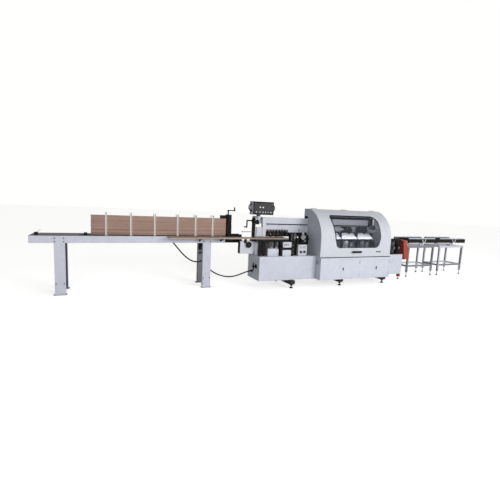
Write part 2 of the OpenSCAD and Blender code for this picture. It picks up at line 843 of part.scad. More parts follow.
module selector_1() { selector(0); }
module selector_2() { selector(1); }

module panel_lamps() {
    color("white") {
        for (i = [1, 3, 4, 5]) rod_y([box_x0 + dial_steps[i] * box_w, box_y0 - 9, dial_z], 9, 22);
        for (f = [0.32, 0.46]) rod_y([box_x0 + f * box_w, box_y0 - 10, box_z + 0.57 * box_h], 10, 30);
    }
}

// ---------------------------------------------------------------- units on the infeed base

module infeed_unit() {
    z0 = 672;
    z1 = rail_z - 10;
    color("gainsboro") {
        difference() {
            block([mx0 - 268, unit_y0, z0], [mx0 - 40, unit_y0 + 180, z1]);
            rod_y([wheel_x, unit_y0 - 1, wheel_z], 40, 16 + 2 * run);
        }
        block([mx0 - 41, unit_y0 + 20, z0 + 40], [mx0 + 70, unit_y0 + 160, z1]);
        block([mx0 + 8, unit_y0 + 20, base_infeed_top], [mx0 + 70, unit_y0 + 160, z0 + 41]);
        block([mx0 - 318, unit_y0, z0 + 4], [mx0 - 267, unit_y0 + 120, z1]);
    }
}

module fence_handwheel() {
    r = handwheel_d / 2;
    rim = 7;
    y = unit_y0 - 34;
    color("black") translate([wheel_x, 0, wheel_z]) {
        translate([0, y, 0]) rotate([90, 0, 0]) rotate_extrude() translate([r - rim, 0]) circle(r = rim);
        rod_y([0, y - 12, 0], 34 + 12 - gap, 28);
        rod_y([0, y, 0], 70, 16);
        for (a = [90, 210, 330]) rotate([0, a, 0]) block([0, y - 5, -6], [r - rim, y + 5, 6]);
    }
}

// Glue pot and its frame, roller housing and the pressure motor behind
module glue_unit() {
    z0 = base_infeed_top;
    color("silver") {
        block([mx0 + 210, -300, z0], [mx0 + 430, -170, 905]);
        block([mx0 + 240, -170, z0], [mx0 + 400, -60, 860]);
    }
    color("whitesmoke") {
        block([mx0 + 520, -335, 815], [mx0 + 712, -245, 922]);
        block([mx0 + 520, -335, z0], [mx0 + 712, -245, 765]);
    }
    color([0.1, 0.1, 0.12]) {
        block([mx0 + 470, -330, z0], [mx0 + 505, -270, 850]);
        block([mx0 + 504, -325, 780], [mx0 + 725, -275, 806]);
        block([mx0 + 724, -330, z0], [mx0 + 775, -270, 905]);
        block([mx0 + 700, -260, z0], [mx0 + 850, -150, 940]);
        rod_z([board_x1 + 80, -150, 930], 150, 130);
        rod_y([mx0 + 840, -200, 1000], 150, 80);
        // Bracket of the band roller
        block([band_x - 20, band_y + 22, z0], [band_x + 20, band_y + 34, band_z + 20]);
        rod_y([band_x, band_y - 8, band_z], 31, 14);
        // Valve block under the lever
        block([lever_x - 32, lever_y - 8, z0], [lever_x + 32, lever_y + 42, lever_z + 18]);
        rod_y([lever_x, lever_y - 24, lever_z], 17, 10);
    }
}

module valve_lever() {
    color("black") {
        difference() {
            rod_y([lever_x, lever_y - 22, lever_z], 12, 26);
            rod_y([lever_x, lever_y - 26, lever_z], 20, 10 + 2 * run);
        }
        rod_z([lever_x, lever_y - 16, lever_z + 11], 175, 11);
        translate([lever_x, lever_y - 16, lever_z + 196]) sphere(d = 26);
    }
}

module band_roller() {
    color("lightslategray") difference() {
        union() {
            rod_y([band_x, band_y - 4, band_z], 6, band_d);
            rod_y([band_x, band_y + 14, band_z], 6, band_d);
            rod_y([band_x, band_y - 4, band_z], 24, band_d - 30);
        }
        rod_y([band_x, band_y - 5, band_z], 26, 14 + 2 * run);
    }
}

reg_x = [reg_x0 + 60, reg_x0 + 145];

module regulator_box() {
    color("white") {
        difference() {
            block([reg_x0, reg_y0, base_infeed_top], [reg_x0 + reg_w, reg_y0 + 70, reg_z0 + reg_h]);
            for (x = reg_x) rod_y([x, reg_y0 - 1, reg_knob_z], 20, 10 + 2 * run);
        }
        for (x = reg_x) rod_y([x, reg_y0 - 12, reg_z0 + 165], 13, 50);
    }
}

module regulator_knob(i) {
    color("black") {
        rod_y([reg_x[i], reg_y0 - 30, reg_knob_z], 30 - gap, 42);
        rod_y([reg_x[i], reg_y0 - 30, reg_knob_z], 44, 10);
    }
}

module regulator_knob_1() { regulator_knob(0); }
module regulator_knob_2() { regulator_knob(1); }

// ---------------------------------------------------------------- hood

// Filled side profile of the hood in Y and Z, shrunk by inset
module hood_profile(inset) {
    r = hood_r - inset;
    intersection() {
        union() {
            translate([curve_y, curve_z]) circle(r, $fn = 96);
            translate([hood_y0 + inset, base_main_top]) square([hood_r - inset, curve_z - base_main_top]);
        }
        translate([hood_y0, base_main_top]) square([hood_back_y - hood_y0, hood_top - inset - base_main_top]);
    }
}

// Sheet along the hood's profile, between two stations
module hood_sheet(x0, x1, inset, t) {
    translate([x0, 0, 0]) rotate([90, 0, 90]) linear_extrude(x1 - x0) difference() {
        hood_profile(inset);
        hood_profile(inset + t);
    }
}

hood_hinge_z = hood_top + 9;
hood_hinge_x = [for (i = [0:2]) mx1 + 130 + i * (base_main_len - 260) / 2];

module end_wall(x) {
    translate([x, 0, 0]) rotate([90, 0, 90]) linear_extrude(sheet) difference() {
        hood_profile(cover_t + 4);
        translate([beam_y0 - 10, base_main_top - 1]) square([400, tunnel_top - base_main_top + 1]);
    }
}

module hood_shell() {
    color("lightgray") {
        end_wall(mx1 + 4);
        end_wall(mx2 - 10 - sheet);
        block([mx1 + 4, hood_hinge_y + 12, hood_top - sheet], [mx2 - 10, hood_back_y, hood_top]);
        block([mx1 + 4, hood_back_y - sheet, tunnel_top],
            [mx2 - 10, hood_back_y, hood_top - sheet + 1]);
        for (x = [mx1 + 4, mx2 - 10 - sheet])
            block([x, hood_hinge_y + 12, hood_top - cover_t - 6],
                [x + sheet, hood_back_y, hood_top - sheet + 1]);
        for (x = hood_hinge_x) {
            rod_x([x - 70, hood_hinge_y, hood_hinge_z], 140, pin_d);
            for (s = [-70, 44]) translate([x + s, 0, 0]) {
                rod_x([0, hood_hinge_y, hood_hinge_z], 26, 16);
                block([0, hood_hinge_y, hood_top + 0.5], [26, hood_hinge_y + 44, hood_top + 5]);
                block([0, hood_hinge_y + 16, hood_top - 1], [26, hood_hinge_y + 44, hood_top + 1]);
            }
        }
    }
}

// Direction from a corner circle to where its outer tangent to the next one starts
function tangent_angle(a, b, ra, rb) =
    atan2(b[1] - a[1], b[0] - a[0]) - 90 + asin((ra - rb) / norm(b - a));

// Counter-clockwise outline round circles at centres, joined by their outer tangents
function corner_points(centres, radii, steps) = [for (i = [0:len(centres) - 1])
    let (n = len(centres), before = (i + n - 1) % n, after = (i + 1) % n,
        start = tangent_angle(centres[before], centres[i], radii[before], radii[i]),
        end = tangent_angle(centres[i], centres[after], radii[i], radii[after]),
        sweep = (end - start + 720) % 360)
    for (k = [0:steps])
        centres[i] + radii[i] * [cos(start + sweep * k / steps), sin(start + sweep * k / steps)]];

// The window seen from the front, grown by more: its infeed side leans with the hood's curve
module window_prism(more) {
    x1 = window_x0 + window_len;
    depth = 420;
    radii = [110, window_r, window_r, 60];
    corners = [[window_x0 + window_lean, window_z0], [x1, window_z0],
        [x1, window_z1], [window_x0, window_z1]];
    inward = [[1, 1], [-1, 1], [-1, -1], [1, -1]];
    centres = [for (i = [0:3]) corners[i] + radii[i] * inward[i]];
    translate([0, hood_y0 - 40 + depth, 0]) rotate([90, 0, 0]) linear_extrude(depth)
        polygon(corner_points(centres, [for (r = radii) r + more], 14));
}

module hood_cover() {
    color("aliceblue") difference() {
        union() {
            difference() {
                hood_sheet(cover_x0, cover_x1, 0, cover_t);
                block([cover_x0 - 1, hood_y0 - 1, base_main_top - 1],
                    [cover_x1 + 1, hood_y0 + 100, cover_z0]);
                block([cover_x0 - 1, hood_hinge_y + 6, hood_top - 60],
                    [cover_x1 + 1, hood_back_y + 60, hood_top + 60]);
            }
            for (x = hood_hinge_x) {
                rod_x([x - 43, hood_hinge_y, hood_hinge_z], 86, 16);
                block([x - 43, hood_hinge_y - 44, hood_top - 1], [x + 43, hood_hinge_y, hood_top + 5]);
            }
        }
        window_prism(0);
        for (x = hood_hinge_x) rod_x([x - 44, hood_hinge_y, hood_hinge_z], 88, pin_d + 2 * run);
    }
}

module window_pane() {
    color([0.25, 0.27, 0.3, 0.6]) intersection() {
        hood_sheet(window_x0, window_x0 + window_len, 1.5, 3);
        window_prism(-0.5);
    }
}

// Rubber gasket round the pane, and the grip under the window
module window_trim() {
    color("black") {
        difference() {
            intersection() {
                hood_sheet(window_x0 - trim_w, window_x0 + window_len + trim_w, -4, 4);
                window_prism(trim_w);
            }
            window_prism(-trim_w);
        }
        for (x = [grip_x + 14, grip_x + grip_len - 14]) rod_y([x, hood_y0 - 34, grip_z], 34, 16);
        block([grip_x, hood_y0 - 44, grip_z - 20], [grip_x + grip_len, hood_y0 - 30, grip_z + 20]);
    }
}

unit_x = [for (i = [0:2]) mx1 + 420 + 430 * i];

// Trimming, scraping and buffing units inside the hood: motors, slides and chip covers
module trim_units() {
    for (x = unit_x) {
        color("gray") block([x - 110, -330, base_main_top], [x + 110, -90, base_main_top + 60]);
        color("dimgray") block([x - 60, -180, base_main_top + 60], [x + 60, -90, 1080]);
        color("lightgray") rod_z([x - 70, -300, base_main_top + 60], 280, 110);
        color("silver") rod_z([x + 80, -300, base_main_top + 60], 230, 90);
        color("white") translate([x - 100, -360, 990]) rotate([90, 0, 90]) linear_extrude(200)
            polygon([[0, 0], [150, 120], [300, 120], [300, 0]]);
    }
}

// ---------------------------------------------------------------- outfeed end

module buff_motors() {
    z0 = base_outfeed_top;
    x0 = ox0 + 265;
    color([0.12, 0.12, 0.13]) {
        block([x0, -290, z0], [x0 + 320, -130, z0 + 24]);
        for (x = [x0 + 80, x0 + 225]) {
            rod_z([x, -215, z0 + 24], 270, 124);
            rod_z([x, -215, z0 + 294], 40, 90);
        }
        block([x0 + 10, -240, z0 + 334], [x0 + 310, -150, z0 + 360]);
    }
}

// Slanted guard at the end of the outfeed base, open behind, on its own leg
module red_guard() {
    wall = 3;
    outer = [[ox1 + 2, 960], [ox1 + 95, 960], [ox1 + 225, 510], [ox1 + 70, 500]];
    inner = [outer[0] + [wall, -wall], outer[1] + [-wall - 1, -wall],
        outer[2] + [-wall - 2, wall], outer[3] + [wall, wall]];
    color("orangered") {
        difference() {
            translate([0, guard_leg_y + 30, 0]) rotate([90, 0, 0]) linear_extrude(180) polygon(outer);
            translate([0, guard_leg_y + 31, 0]) rotate([90, 0, 0]) linear_extrude(178) polygon(inner);
        }
        block([ox1, guard_leg_y - 50, 560], [ox1 + 60, guard_leg_y - 10, 600]);
    }
    color([0.3, 0.22, 0.28])
        block([guard_leg_x - 30, guard_leg_y - 30, 60], [guard_leg_x + 30, guard_leg_y + 30, 520]);
}

rail_top = 960;

module outfeed_frame_one() {
    for (x = [0, table_len - tube], y = [table_y0, table_y1 - tube])
        block([x, y, table_foot_z], [x + tube, y + tube, 735]);
    for (y = [table_y0, table_y1 - tube]) {
        block([-10, y, 735], [table_len + 10, y + tube, 790]);
        block([tube, y, 250], [table_len - tube, y + tube, 290]);
    }
    for (x = [0, table_len - tube]) for (z = [250, 740])
        block([x, table_y0 + tube, z], [x + tube, table_y1 - tube, z + 40]);
    // Forked brackets that carry the rails
    for (x = [table_len / 2 - 60, table_len / 2 + 20], y = [table_y0, table_y1 - tube])
        block([x, y + 5, 790], [x + 40, y + tube - 5, rail_top - 100]);
}

module outfeed_frames() {
    color("lightgray") for (x = [tx0, tx1]) translate([x, 0, 0]) outfeed_frame_one();
}

module outfeed_rails() {
    color([0.08, 0.08, 0.09]) for (x = [tx0, tx1]) translate([x, 0, 0])
        for (y = [table_y0, table_y1 - tube])
            block([-30, y, rail_top - 100], [table_len + end_over, y + tube, rail_top]);
    color("lightgray") for (x = [tx0, tx1]) translate([x, 0, 0])
        for (y = [table_y0, table_y1 - tube])
            block([-10, y + 5, rail_top], [table_len + 10, y + tube - 5, rail_top + 22]);
}

// ---------------------------------------------------------------- output

feeder_frame();
feeder_legs();
feeder_feet();
feeder_bolts();
feed_table();
limit_switches();
switch_whisker();
pusher();
pusher_cylinder();
magazine_posts();
strip_stack();
holddown_weight();
gate_frame();
gate_slide();
gate_crank();
infeed_board();
board_supports();
feeder_cable();
cable_glands();
base_infeed();
base_main();
base_outfeed();
foot_beams();
levelling_feet();
door_left();
door_right();
latch_left();
latch_right();
main_switch();
track_bed();
track_chain();
drive_gearmotor();
pressure_beam();
pressure_roller_1();
pressure_roller_2();
pressure_roller_3();
beam_post();
height_crank();
control_arm();
control_box();
selector_1();
selector_2();
panel_lamps();
infeed_unit();
fence_handwheel();
glue_unit();
valve_lever();
band_roller();
regulator_box();
regulator_knob_1();
regulator_knob_2();
hood_shell();
hood_cover();
window_pane();
window_trim();
trim_units();
buff_motors();
red_guard();
outfeed_frames();
outfeed_rails();
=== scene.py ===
"""Looks of an edge banding line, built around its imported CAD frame. Lengths are in metres."""
import json
import math
import random
import bmesh
import bpy
from mathutils import Matrix, Vector


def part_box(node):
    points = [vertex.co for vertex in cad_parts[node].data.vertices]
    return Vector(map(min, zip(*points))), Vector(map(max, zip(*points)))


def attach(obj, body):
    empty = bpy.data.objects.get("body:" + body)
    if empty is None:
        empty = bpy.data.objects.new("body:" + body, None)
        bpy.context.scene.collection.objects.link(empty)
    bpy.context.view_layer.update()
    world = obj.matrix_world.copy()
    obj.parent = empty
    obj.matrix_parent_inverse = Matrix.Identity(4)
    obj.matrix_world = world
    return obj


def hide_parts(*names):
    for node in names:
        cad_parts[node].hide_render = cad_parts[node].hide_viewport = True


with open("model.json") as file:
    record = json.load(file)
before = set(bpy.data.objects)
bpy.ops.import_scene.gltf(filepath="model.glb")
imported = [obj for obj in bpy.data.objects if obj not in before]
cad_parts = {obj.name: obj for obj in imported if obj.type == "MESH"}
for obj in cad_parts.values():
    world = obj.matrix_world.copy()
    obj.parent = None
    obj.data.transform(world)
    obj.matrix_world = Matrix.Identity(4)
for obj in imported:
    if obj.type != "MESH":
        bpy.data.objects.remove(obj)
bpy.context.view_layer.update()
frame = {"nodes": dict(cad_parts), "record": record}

NODES = frame["nodes"]
BODY_OF = {n: b for b, members in frame["record"]["behaviour"]["bodies"].items() for n in members}
ROOT = BODY_OF["base_main"]
X, Y, Z = Vector((1, 0, 0)), Vector((0, 1, 0)), Vector((0, 0, 1))
rng = random.Random(7)


# ------------------------------------------------------------------ camera

CAMERA_PLACE = (-4.01, -6.25, 1.62)
CAMERA_YAW, CAMERA_PITCH, CAMERA_ROLL = (math.radians(a) for a in (23.385, 7.483, -2.635))
LENS_MM = 24.606


def make_camera():
    """The photograph's camera."""
    cy, sy = math.cos(CAMERA_YAW), math.sin(CAMERA_YAW)
    cp, sp = math.cos(CAMERA_PITCH), math.sin(CAMERA_PITCH)
    cr, sr = math.cos(CAMERA_ROLL), math.sin(CAMERA_ROLL)
    forward = Vector((sy * cp, cy * cp, -sp))
    level_right = Vector((cy, -sy, 0))
    level_down = forward.cross(level_right)
    right = cr * level_right + sr * level_down
    down = cr * level_down - sr * level_right
    data = bpy.data.cameras.new("camera")
    data.lens = LENS_MM
    data.sensor_width = 36
    data.clip_end = 200
    cam = bpy.data.objects.new("camera", data)
    bpy.context.scene.collection.objects.link(cam)
    turn = Matrix((right, -down, -forward)).transposed().to_4x4()
    cam.matrix_world = Matrix.Translation(CAMERA_PLACE) @ turn
    bpy.context.scene.camera = cam


# ------------------------------------------------------------------ materials

def map_range(tree, value, start, end, low, high):
    """Node that maps value, from start to end, to low to high."""
    node = tree.nodes.new("ShaderNodeMapRange")
    for key, number in (("From Min", start), ("From Max", end), ("To Min", low), ("To Max", high)):
        node.inputs[key].default_value = number
    tree.links.new(value, node.inputs["Value"])
    return node


def calculate(tree, operation, *values):
    """Result of a math node, whose values are numbers or sockets."""
    node = tree.nodes.new("ShaderNodeMath")
    node.operation = operation
    for socket, value in zip(node.inputs, values):
        if isinstance(value, (int, float)):
            socket.default_value = value
        else:
            tree.links.new(value, socket)
    return node.outputs[0]


class Shader:
    """A material's node tree, with short ways to add and join nodes."""

    def __init__(self, name):
        self.material = bpy.data.materials.new(name)
        self.material.use_nodes = True
        self.tree = self.material.node_tree
        self.bsdf = self.tree.nodes["Principled BSDF"]
        self.coord = self.tree.nodes.new("ShaderNodeTexCoord").outputs["Object"]

    def link(self, a, b):
        """Joins output a to input b."""
        self.tree.links.new(a, b)

    def stretch(self, scale):
        """The object's own coordinates, scaled along each axis."""
        node = self.tree.nodes.new("ShaderNodeMapping")
        node.inputs["Scale"].default_value = scale
        self.link(self.coord, node.inputs["Vector"])
        return node.outputs[0]

    def noise(self, scale, detail=3.0, rough=0.55, vector=None):
        """Cloudy pattern from 0 to 1."""
        node = self.tree.nodes.new("ShaderNodeTexNoise")
        node.inputs["Scale"].default_value = scale
        node.inputs["Detail"].default_value = detail
        node.inputs["Roughness"].default_value = rough
        self.link(vector or self.coord, node.inputs["Vector"])
        return node.outputs["Fac"]

    def ramp(self, value, stops):
        """Colours at places from 0 to 1 along value."""
        node = self.tree.nodes.new("ShaderNodeValToRGB")
        elements = node.color_ramp.elements
        while len(elements) < len(stops):
            elements.new(0.5)
        for element, (place, colour) in zip(elements, stops):
            element.position = place
            element.color = (*colour, 1)
        self.link(value, node.inputs["Fac"])
        return node.outputs["Color"]

    def spread(self, value, low, high, start=0.3, end=0.7):
        """value from start to end, mapped to low to high."""
        return map_range(self.tree, value, start, end, low, high).outputs["Result"]

    def multiply(self, a, b):
        """Product of two colours."""
        node = self.tree.nodes.new("ShaderNodeMix")
        node.data_type = "RGBA"
        node.blend_type = "MULTIPLY"
        node.inputs[0].default_value = 1
        self.link(a, node.inputs[6])
        self.link(b, node.inputs[7])
        return node.outputs[2]

    def math(self, operation, *values):
        """Result of a sum on numbers or sockets."""
        return calculate(self.tree, operation, *values)

    def axis(self, name):
        """One of the object's own coordinates."""
        node = self.tree.nodes.new("ShaderNodeSeparateXYZ")
        self.link(self.coord, node.inputs[0])
        return node.outputs[name]

    def bump(self, height, strength, distance):
        """Adds a relief on top of any that is there."""
        node = self.tree.nodes.new("ShaderNodeBump")
        node.inputs["Strength"].default_value = strength
        node.inputs["Distance"].default_value = distance
        self.link(height, node.inputs["Height"])
        if self.bsdf.inputs["Normal"].is_linked:
            self.link(self.bsdf.inputs["Normal"].links[0].from_socket, node.inputs["Normal"])
        self.link(node.outputs[0], self.bsdf.inputs["Normal"])

    def finish(self, **values):
        """The material, with values for the shader's inputs; _ stands for a space."""
        for key, value in values.items():
            self.bsdf.inputs[key.replace("_", " ")].default_value = value
        return self.material


def shade(colour, share):
    """The colour, darkened or lightened."""
    return tuple(min(1.0, c * share) for c in colour)


def paint(name, colour, gloss=0.38, grime=0.12, shine=0.5, coat=0.15):
    """Sprayed enamel: slight orange peel, faint cloudiness, and dust that thickens in patches."""
    s = Shader(name)
    cloud = s.noise(1.7, 4.0)
    base = s.ramp(cloud, [(0.3, shade(colour, 0.965)), (0.7, shade(colour, 1.02))])
    dust = s.ramp(s.noise(9.0, 8.0, 0.7), [(0.42, (1, 1, 1)), (0.78, (1 - grime,) * 3)])
    s.link(s.multiply(base, dust), s.bsdf.inputs["Base Color"])
    s.link(s.spread(s.noise(14.0, 5.0), gloss - 0.06, gloss + 0.12), s.bsdf.inputs["Roughness"])
    s.bump(s.noise(420.0, 2.0), 0.12, 0.0006)
    return s.finish(Coat_Weight=coat, Coat_Roughness=0.25, Specular_IOR_Level=shine)


def brushed(name, colour, along, gloss=0.32):
    """Metal with fine lines along one axis, and oily patches."""
    s = Shader(name)
    fine = s.noise(1.0, 4.0, 0.6, s.stretch(tuple(12 if i == along else 700 for i in range(3))))
    patch = s.ramp(s.noise(7.0, 5.0), [(0.35, shade(colour, 0.8)), (0.7, shade(colour, 1.05))])
    lines = s.ramp(fine, [(0.2, (0.82,) * 3), (0.8, (1, 1, 1))])
    s.link(s.multiply(patch, lines), s.bsdf.inputs["Base Color"])
    s.link(s.spread(fine, gloss - 0.06, gloss + 0.15), s.bsdf.inputs["Roughness"])
    s.bump(fine, 0.15, 0.0004)
    return s.finish(Metallic=0.9)


def moulded(name, colour, gloss=0.45, grain=600.0, specular=0.5):
    """Plastic or rubber with a fine grain."""
    s = Shader(name)
    base = s.ramp(s.noise(11.0, 5.0), [(0.3, shade(colour, 0.8)), (0.72, shade(colour, 1.25))])
    s.link(base, s.bsdf.inputs["Base Color"])
    s.link(s.spread(s.noise(26.0, 3.0), gloss - 0.05, gloss + 0.13), s.bsdf.inputs["Roughness"])
    s.bump(s.noise(grain, 2.0), 0.22, 0.0005)
    return s.finish(Specular_IOR_Level=specular)


def wood(name, dark, light, pitch=0.0, first=0.0):
    """Grain along X. With a pitch, each strip of that thickness above first has its own tone."""
    s = Shader(name)
    grain = s.noise(1.0, 7.0, 0.62, s.stretch((1.1, 34, 34)))
    pores = s.noise(1.0, 3.0, 0.5, s.stretch((14, 420, 420)))
    base = s.multiply(s.ramp(grain, [(0.28, dark), (0.72, light)]),
                      s.ramp(pores, [(0.3, (0.84,) * 3), (0.6, (1, 1, 1))]))
    if pitch:
        step = s.math("FLOOR", s.math("DIVIDE", s.math("SUBTRACT", s.axis("Z"), first), pitch))
        tone = s.tree.nodes.new("ShaderNodeTexWhiteNoise")
        tone.noise_dimensions = "1D"
        s.link(step, tone.inputs["W"])
        tints = s.ramp(tone.outputs["Value"], [(0, (0.8, 0.78, 0.78)), (1, (1.1, 1.08, 1.06))])
        base = s.multiply(base, tints)
    s.link(base, s.bsdf.inputs["Base Color"])
    s.link(s.spread(grain, 0.42, 0.62), s.bsdf.inputs["Roughness"])
    s.bump(pores, 0.3, 0.0005)
    return s.finish(Specular_IOR_Level=0.35)


def smoked_window(name):
    """Tinted acrylic sheet with faint wiping marks."""
    s = Shader(name)
    base = s.ramp(s.noise(2.5, 4.0), [(0.3, (0.035, 0.04, 0.05)), (0.7, (0.05, 0.055, 0.07))])
    s.link(base, s.bsdf.inputs["Base Color"])
    s.link(s.spread(s.noise(5.0, 4.0), 0.05, 0.14), s.bsdf.inputs["Roughness"])
    return s.finish(Alpha=0.36, Specular_IOR_Level=0.25)


def gauge_face(name):
    """White dial with a soft grey rim tone."""
    s = Shader(name)
    s.link(s.ramp(s.noise(40.0), [(0.3, (0.5, 0.52, 0.54)), (0.7, (0.62, 0.64, 0.66))]),
           s.bsdf.inputs["Base Color"])
    return s.finish(Roughness=0.22)


STRIPS = 18
STRIP_LOW, STRIP_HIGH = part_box("strip_stack")
STRIP_PITCH = (STRIP_HIGH.z - STRIP_LOW.z) / STRIPS

MAT = {
    "light_grey_paint": paint("light_grey_paint", (0.60, 0.62, 0.71)),
    "white_paint": paint("white_paint", (0.60, 0.62, 0.68), 0.33, 0.08),
    # Mid grey is the paint of many parts, and also the painted shade on the feeder's rear legs and the
    # outfeed legs.
    "mid_grey_paint": paint("mid_grey_paint", (0.22, 0.225, 0.25)),
    "dark_grey_paint": paint("dark_grey_paint", (0.04, 0.036, 0.036), 0.5, 0.25, 0.2, 0.0),
    "black_paint": paint("black_paint", (0.012, 0.011, 0.012), 0.5, 0.3, 0.2, 0.0),
    "red_paint": paint("red_paint", (0.38, 0.055, 0.035), 0.4, 0.3),
    "steel": brushed("steel", (0.60, 0.61, 0.63), 0),
    "dark_steel": brushed("dark_steel", (0.20, 0.20, 0.22), 0, 0.42),
    "aluminium_extrusion": brushed("aluminium_extrusion", (0.70, 0.71, 0.73), 0, 0.3),
    "zinc": brushed("zinc", (0.45, 0.45, 0.44), 2, 0.36),
    "strip_wood": wood("strip_wood", (0.295, 0.185, 0.152), (0.46, 0.315, 0.262), STRIP_PITCH, STRIP_LOW.z),
    "board_wood": wood("board_wood", (0.33, 0.24, 0.19), (0.52, 0.41, 0.34)),
    "black_plastic": moulded("black_plastic", (0.013, 0.013, 0.014), specular=0.22),
    "white_plastic": moulded("white_plastic", (0.70, 0.70, 0.67), 0.35),
    "rubber": moulded("rubber", (0.013, 0.012, 0.012), 0.7, 350.0, 0.12),
    "tinted_window": smoked_window("tinted_window"),
    "cream_paint": paint("cream_paint", (0.80, 0.755, 0.72), 0.4, 0.1),
    "dark_bolt": brushed("dark_bolt", (0.035, 0.035, 0.04), 2, 0.5),
    "gauge": gauge_face("gauge"),
    "dark_panel": moulded("dark_panel", (0.055, 0.056, 0.06), 0.5, 500.0, 0.25),
    "bronze": brushed("bronze", (0.17, 0.125, 0.09), 2, 0.45),
    "red_plastic": moulded("red_plastic", (0.55, 0.03, 0.02), 0.35),
}


# ------------------------------------------------------------------ mesh building

def circle(u, v, seg):
    """Unit vectors round a circle in the plane of u and v."""
    return [math.cos(t) * u + math.sin(t) * v for t in (2 * math.pi * k / seg for k in range(seg))]


def ring_faces(rings, seg):
    """Faces that join rings of seg vertices each, with a cap at both ends."""
    sides = [(i * seg + k, i * seg + (k + 1) % seg, (i + 1) * seg + (k + 1) % seg, (i + 1) * seg + k)
             for i in range(rings - 1) for k in range(seg)]
    return sides + [tuple(reversed(range(seg))), tuple((rings - 1) * seg + k for k in range(seg))]


class Piece:
    """Collects solids, each with its material, and makes them one object that rides on a body."""

    def __init__(self, name, body=ROOT, slot="light_grey_paint"):
        self.name, self.body, self.slot = name, body, slot
        self.verts, self.faces, self.kinds, self.mats = [], [], [], []
        self.mat = slot

    def add(self, verts, faces):
        """Adds a solid in the material that is set now."""
        if self.mat not in self.mats:
            self.mats.append(self.mat)
        start = len(self.verts)
        self.verts += [tuple(v) for v in verts]
        self.faces += [tuple(start + i for i in f) for f in faces]
        self.kinds += [self.mats.index(self.mat)] * len(faces)

    def add_bmesh(self, bm):
        bm.verts.index_update()
        self.add([v.co.copy() for v in bm.verts], [[v.index for v in f.verts] for f in bm.faces])
        bm.free()

    def box(self, low, high, r=0.003, turn=None):
        """Box with rounded edges; turn is a matrix about its middle."""
        low, high = Vector(low), Vector(high)
        size = high - low
        bm = bmesh.new()
        bmesh.ops.create_cube(bm, size=1)
        bmesh.ops.scale(bm, vec=size, verts=bm.verts)
        r = min(r, 0.45 * min(size))
        if r > 0:
            bmesh.ops.bevel(bm, geom=bm.edges[:], offset=r, segments=2, profile=0.5, affect="EDGES")
        if turn:
            bmesh.ops.transform(bm, matrix=turn, verts=bm.verts)
        bmesh.ops.translate(bm, vec=(low + high) / 2, verts=bm.verts)
        self.add_bmesh(bm)

    def lathe(self, origin, axis, outline, seg=32):
        """Outline of (height, radius) pairs, turned about axis; it is closed at both ends."""
        axis = Vector(axis).normalized()
        u = axis.orthogonal().normalized()
        v = axis.cross(u)
        origin = Vector(origin)
        verts = [origin + axis * h + r * spoke for h, r in outline for spoke in circle(u, v, seg)]
        self.add(verts, ring_faces(len(outline), seg))

    def rod(self, origin, axis, length, d, r=0.0015, seg=32):
        """Cylinder with rounded ends' edges."""
        radius = d / 2
        r = min(r, radius * 0.5, length * 0.45)
        self.lathe(origin, axis, [(0, radius - r), (r * 0.3, radius - r * 0.3), (r, radius),
                                  (length - r, radius), (length - r * 0.3, radius - r * 0.3),
                                  (length, radius - r)], seg)

    def bolt(self, origin, axis, d, washer=True):
        """Hexagon head with a chamfered top, on its washer."""
        height = 0.65 * d
        if washer:
            self.rod(origin, axis, 0.18 * d, 2.1 * d, 0.0005, 20)
        self.lathe(origin, axis, [(0.1 * d, 0.9 * d), (height * 0.85, 0.9 * d), (height, 0.74 * d)], 6)

    def tube(self, path, d, seg=12, rib=0.0):
        """Round tube swept along points; every second ring's radius is less by rib."""
        points = [Vector(p) for p in path]
        last = len(points) - 1
        side = None
        verts = []
        for i, p in enumerate(points):
            along = (points[min(i + 1, last)] - points[max(i - 1, 0)]).normalized()
            side = along.orthogonal() if side is None else side - along * side.dot(along)
            side.normalize()
            radius = d / 2 - (rib if i % 2 else 0)
            verts += [p + radius * spoke for spoke in circle(side, along.cross(side), seg)]
        self.add(verts, ring_faces(len(points), seg))

    def prism(self, outline, along, start, end, r=0.002):
        """Outline of (a, b) pairs in the two axes after along, extruded from start to end."""
        u, v = ((Y, Z), (Z, X), (X, Y))[along]
        w = (X, Y, Z)[along]
        bm = bmesh.new()
        face = bm.faces.new([bm.verts.new(u * a + v * b + w * start) for a, b in outline])
        moved = bmesh.ops.extrude_face_region(bm, geom=[face])["geom"]
        far_verts = [g for g in moved if isinstance(g, bmesh.types.BMVert)]
        bmesh.ops.translate(bm, vec=w * (end - start), verts=far_verts)
        bmesh.ops.recalc_face_normals(bm, faces=bm.faces)
        if r > 0:
            sharp = [e for e in bm.edges if e.calc_face_angle(0) > 0.5]
            bmesh.ops.bevel(bm, geom=sharp, offset=r, segments=2, profile=0.5, affect="EDGES",
                            clamp_overlap=True)
        self.add_bmesh(bm)

    def done(self, *replaced, smooth=35):
        """The finished object, which stands for the replaced CAD nodes."""
        mesh = bpy.data.meshes.new(self.name)
        mesh.from_pydata(self.verts, [], self.faces)
        for kind in self.mats:
            mesh.materials.append(MAT[kind])
        mesh.polygons.foreach_set("material_index", self.kinds)
        bm = bmesh.new()
        bm.from_mesh(mesh)
        bmesh.ops.recalc_face_normals(bm, faces=bm.faces)
        bm.to_mesh(mesh)
        bm.free()
        mesh.shade_smooth()
        mesh.set_sharp_from_angle(angle=math.radians(smooth))
        obj = bpy.data.objects.new(self.name, mesh)
        bpy.context.scene.collection.objects.link(obj)
        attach(obj, self.body)
        if replaced:
            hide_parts(*replaced)
        return obj


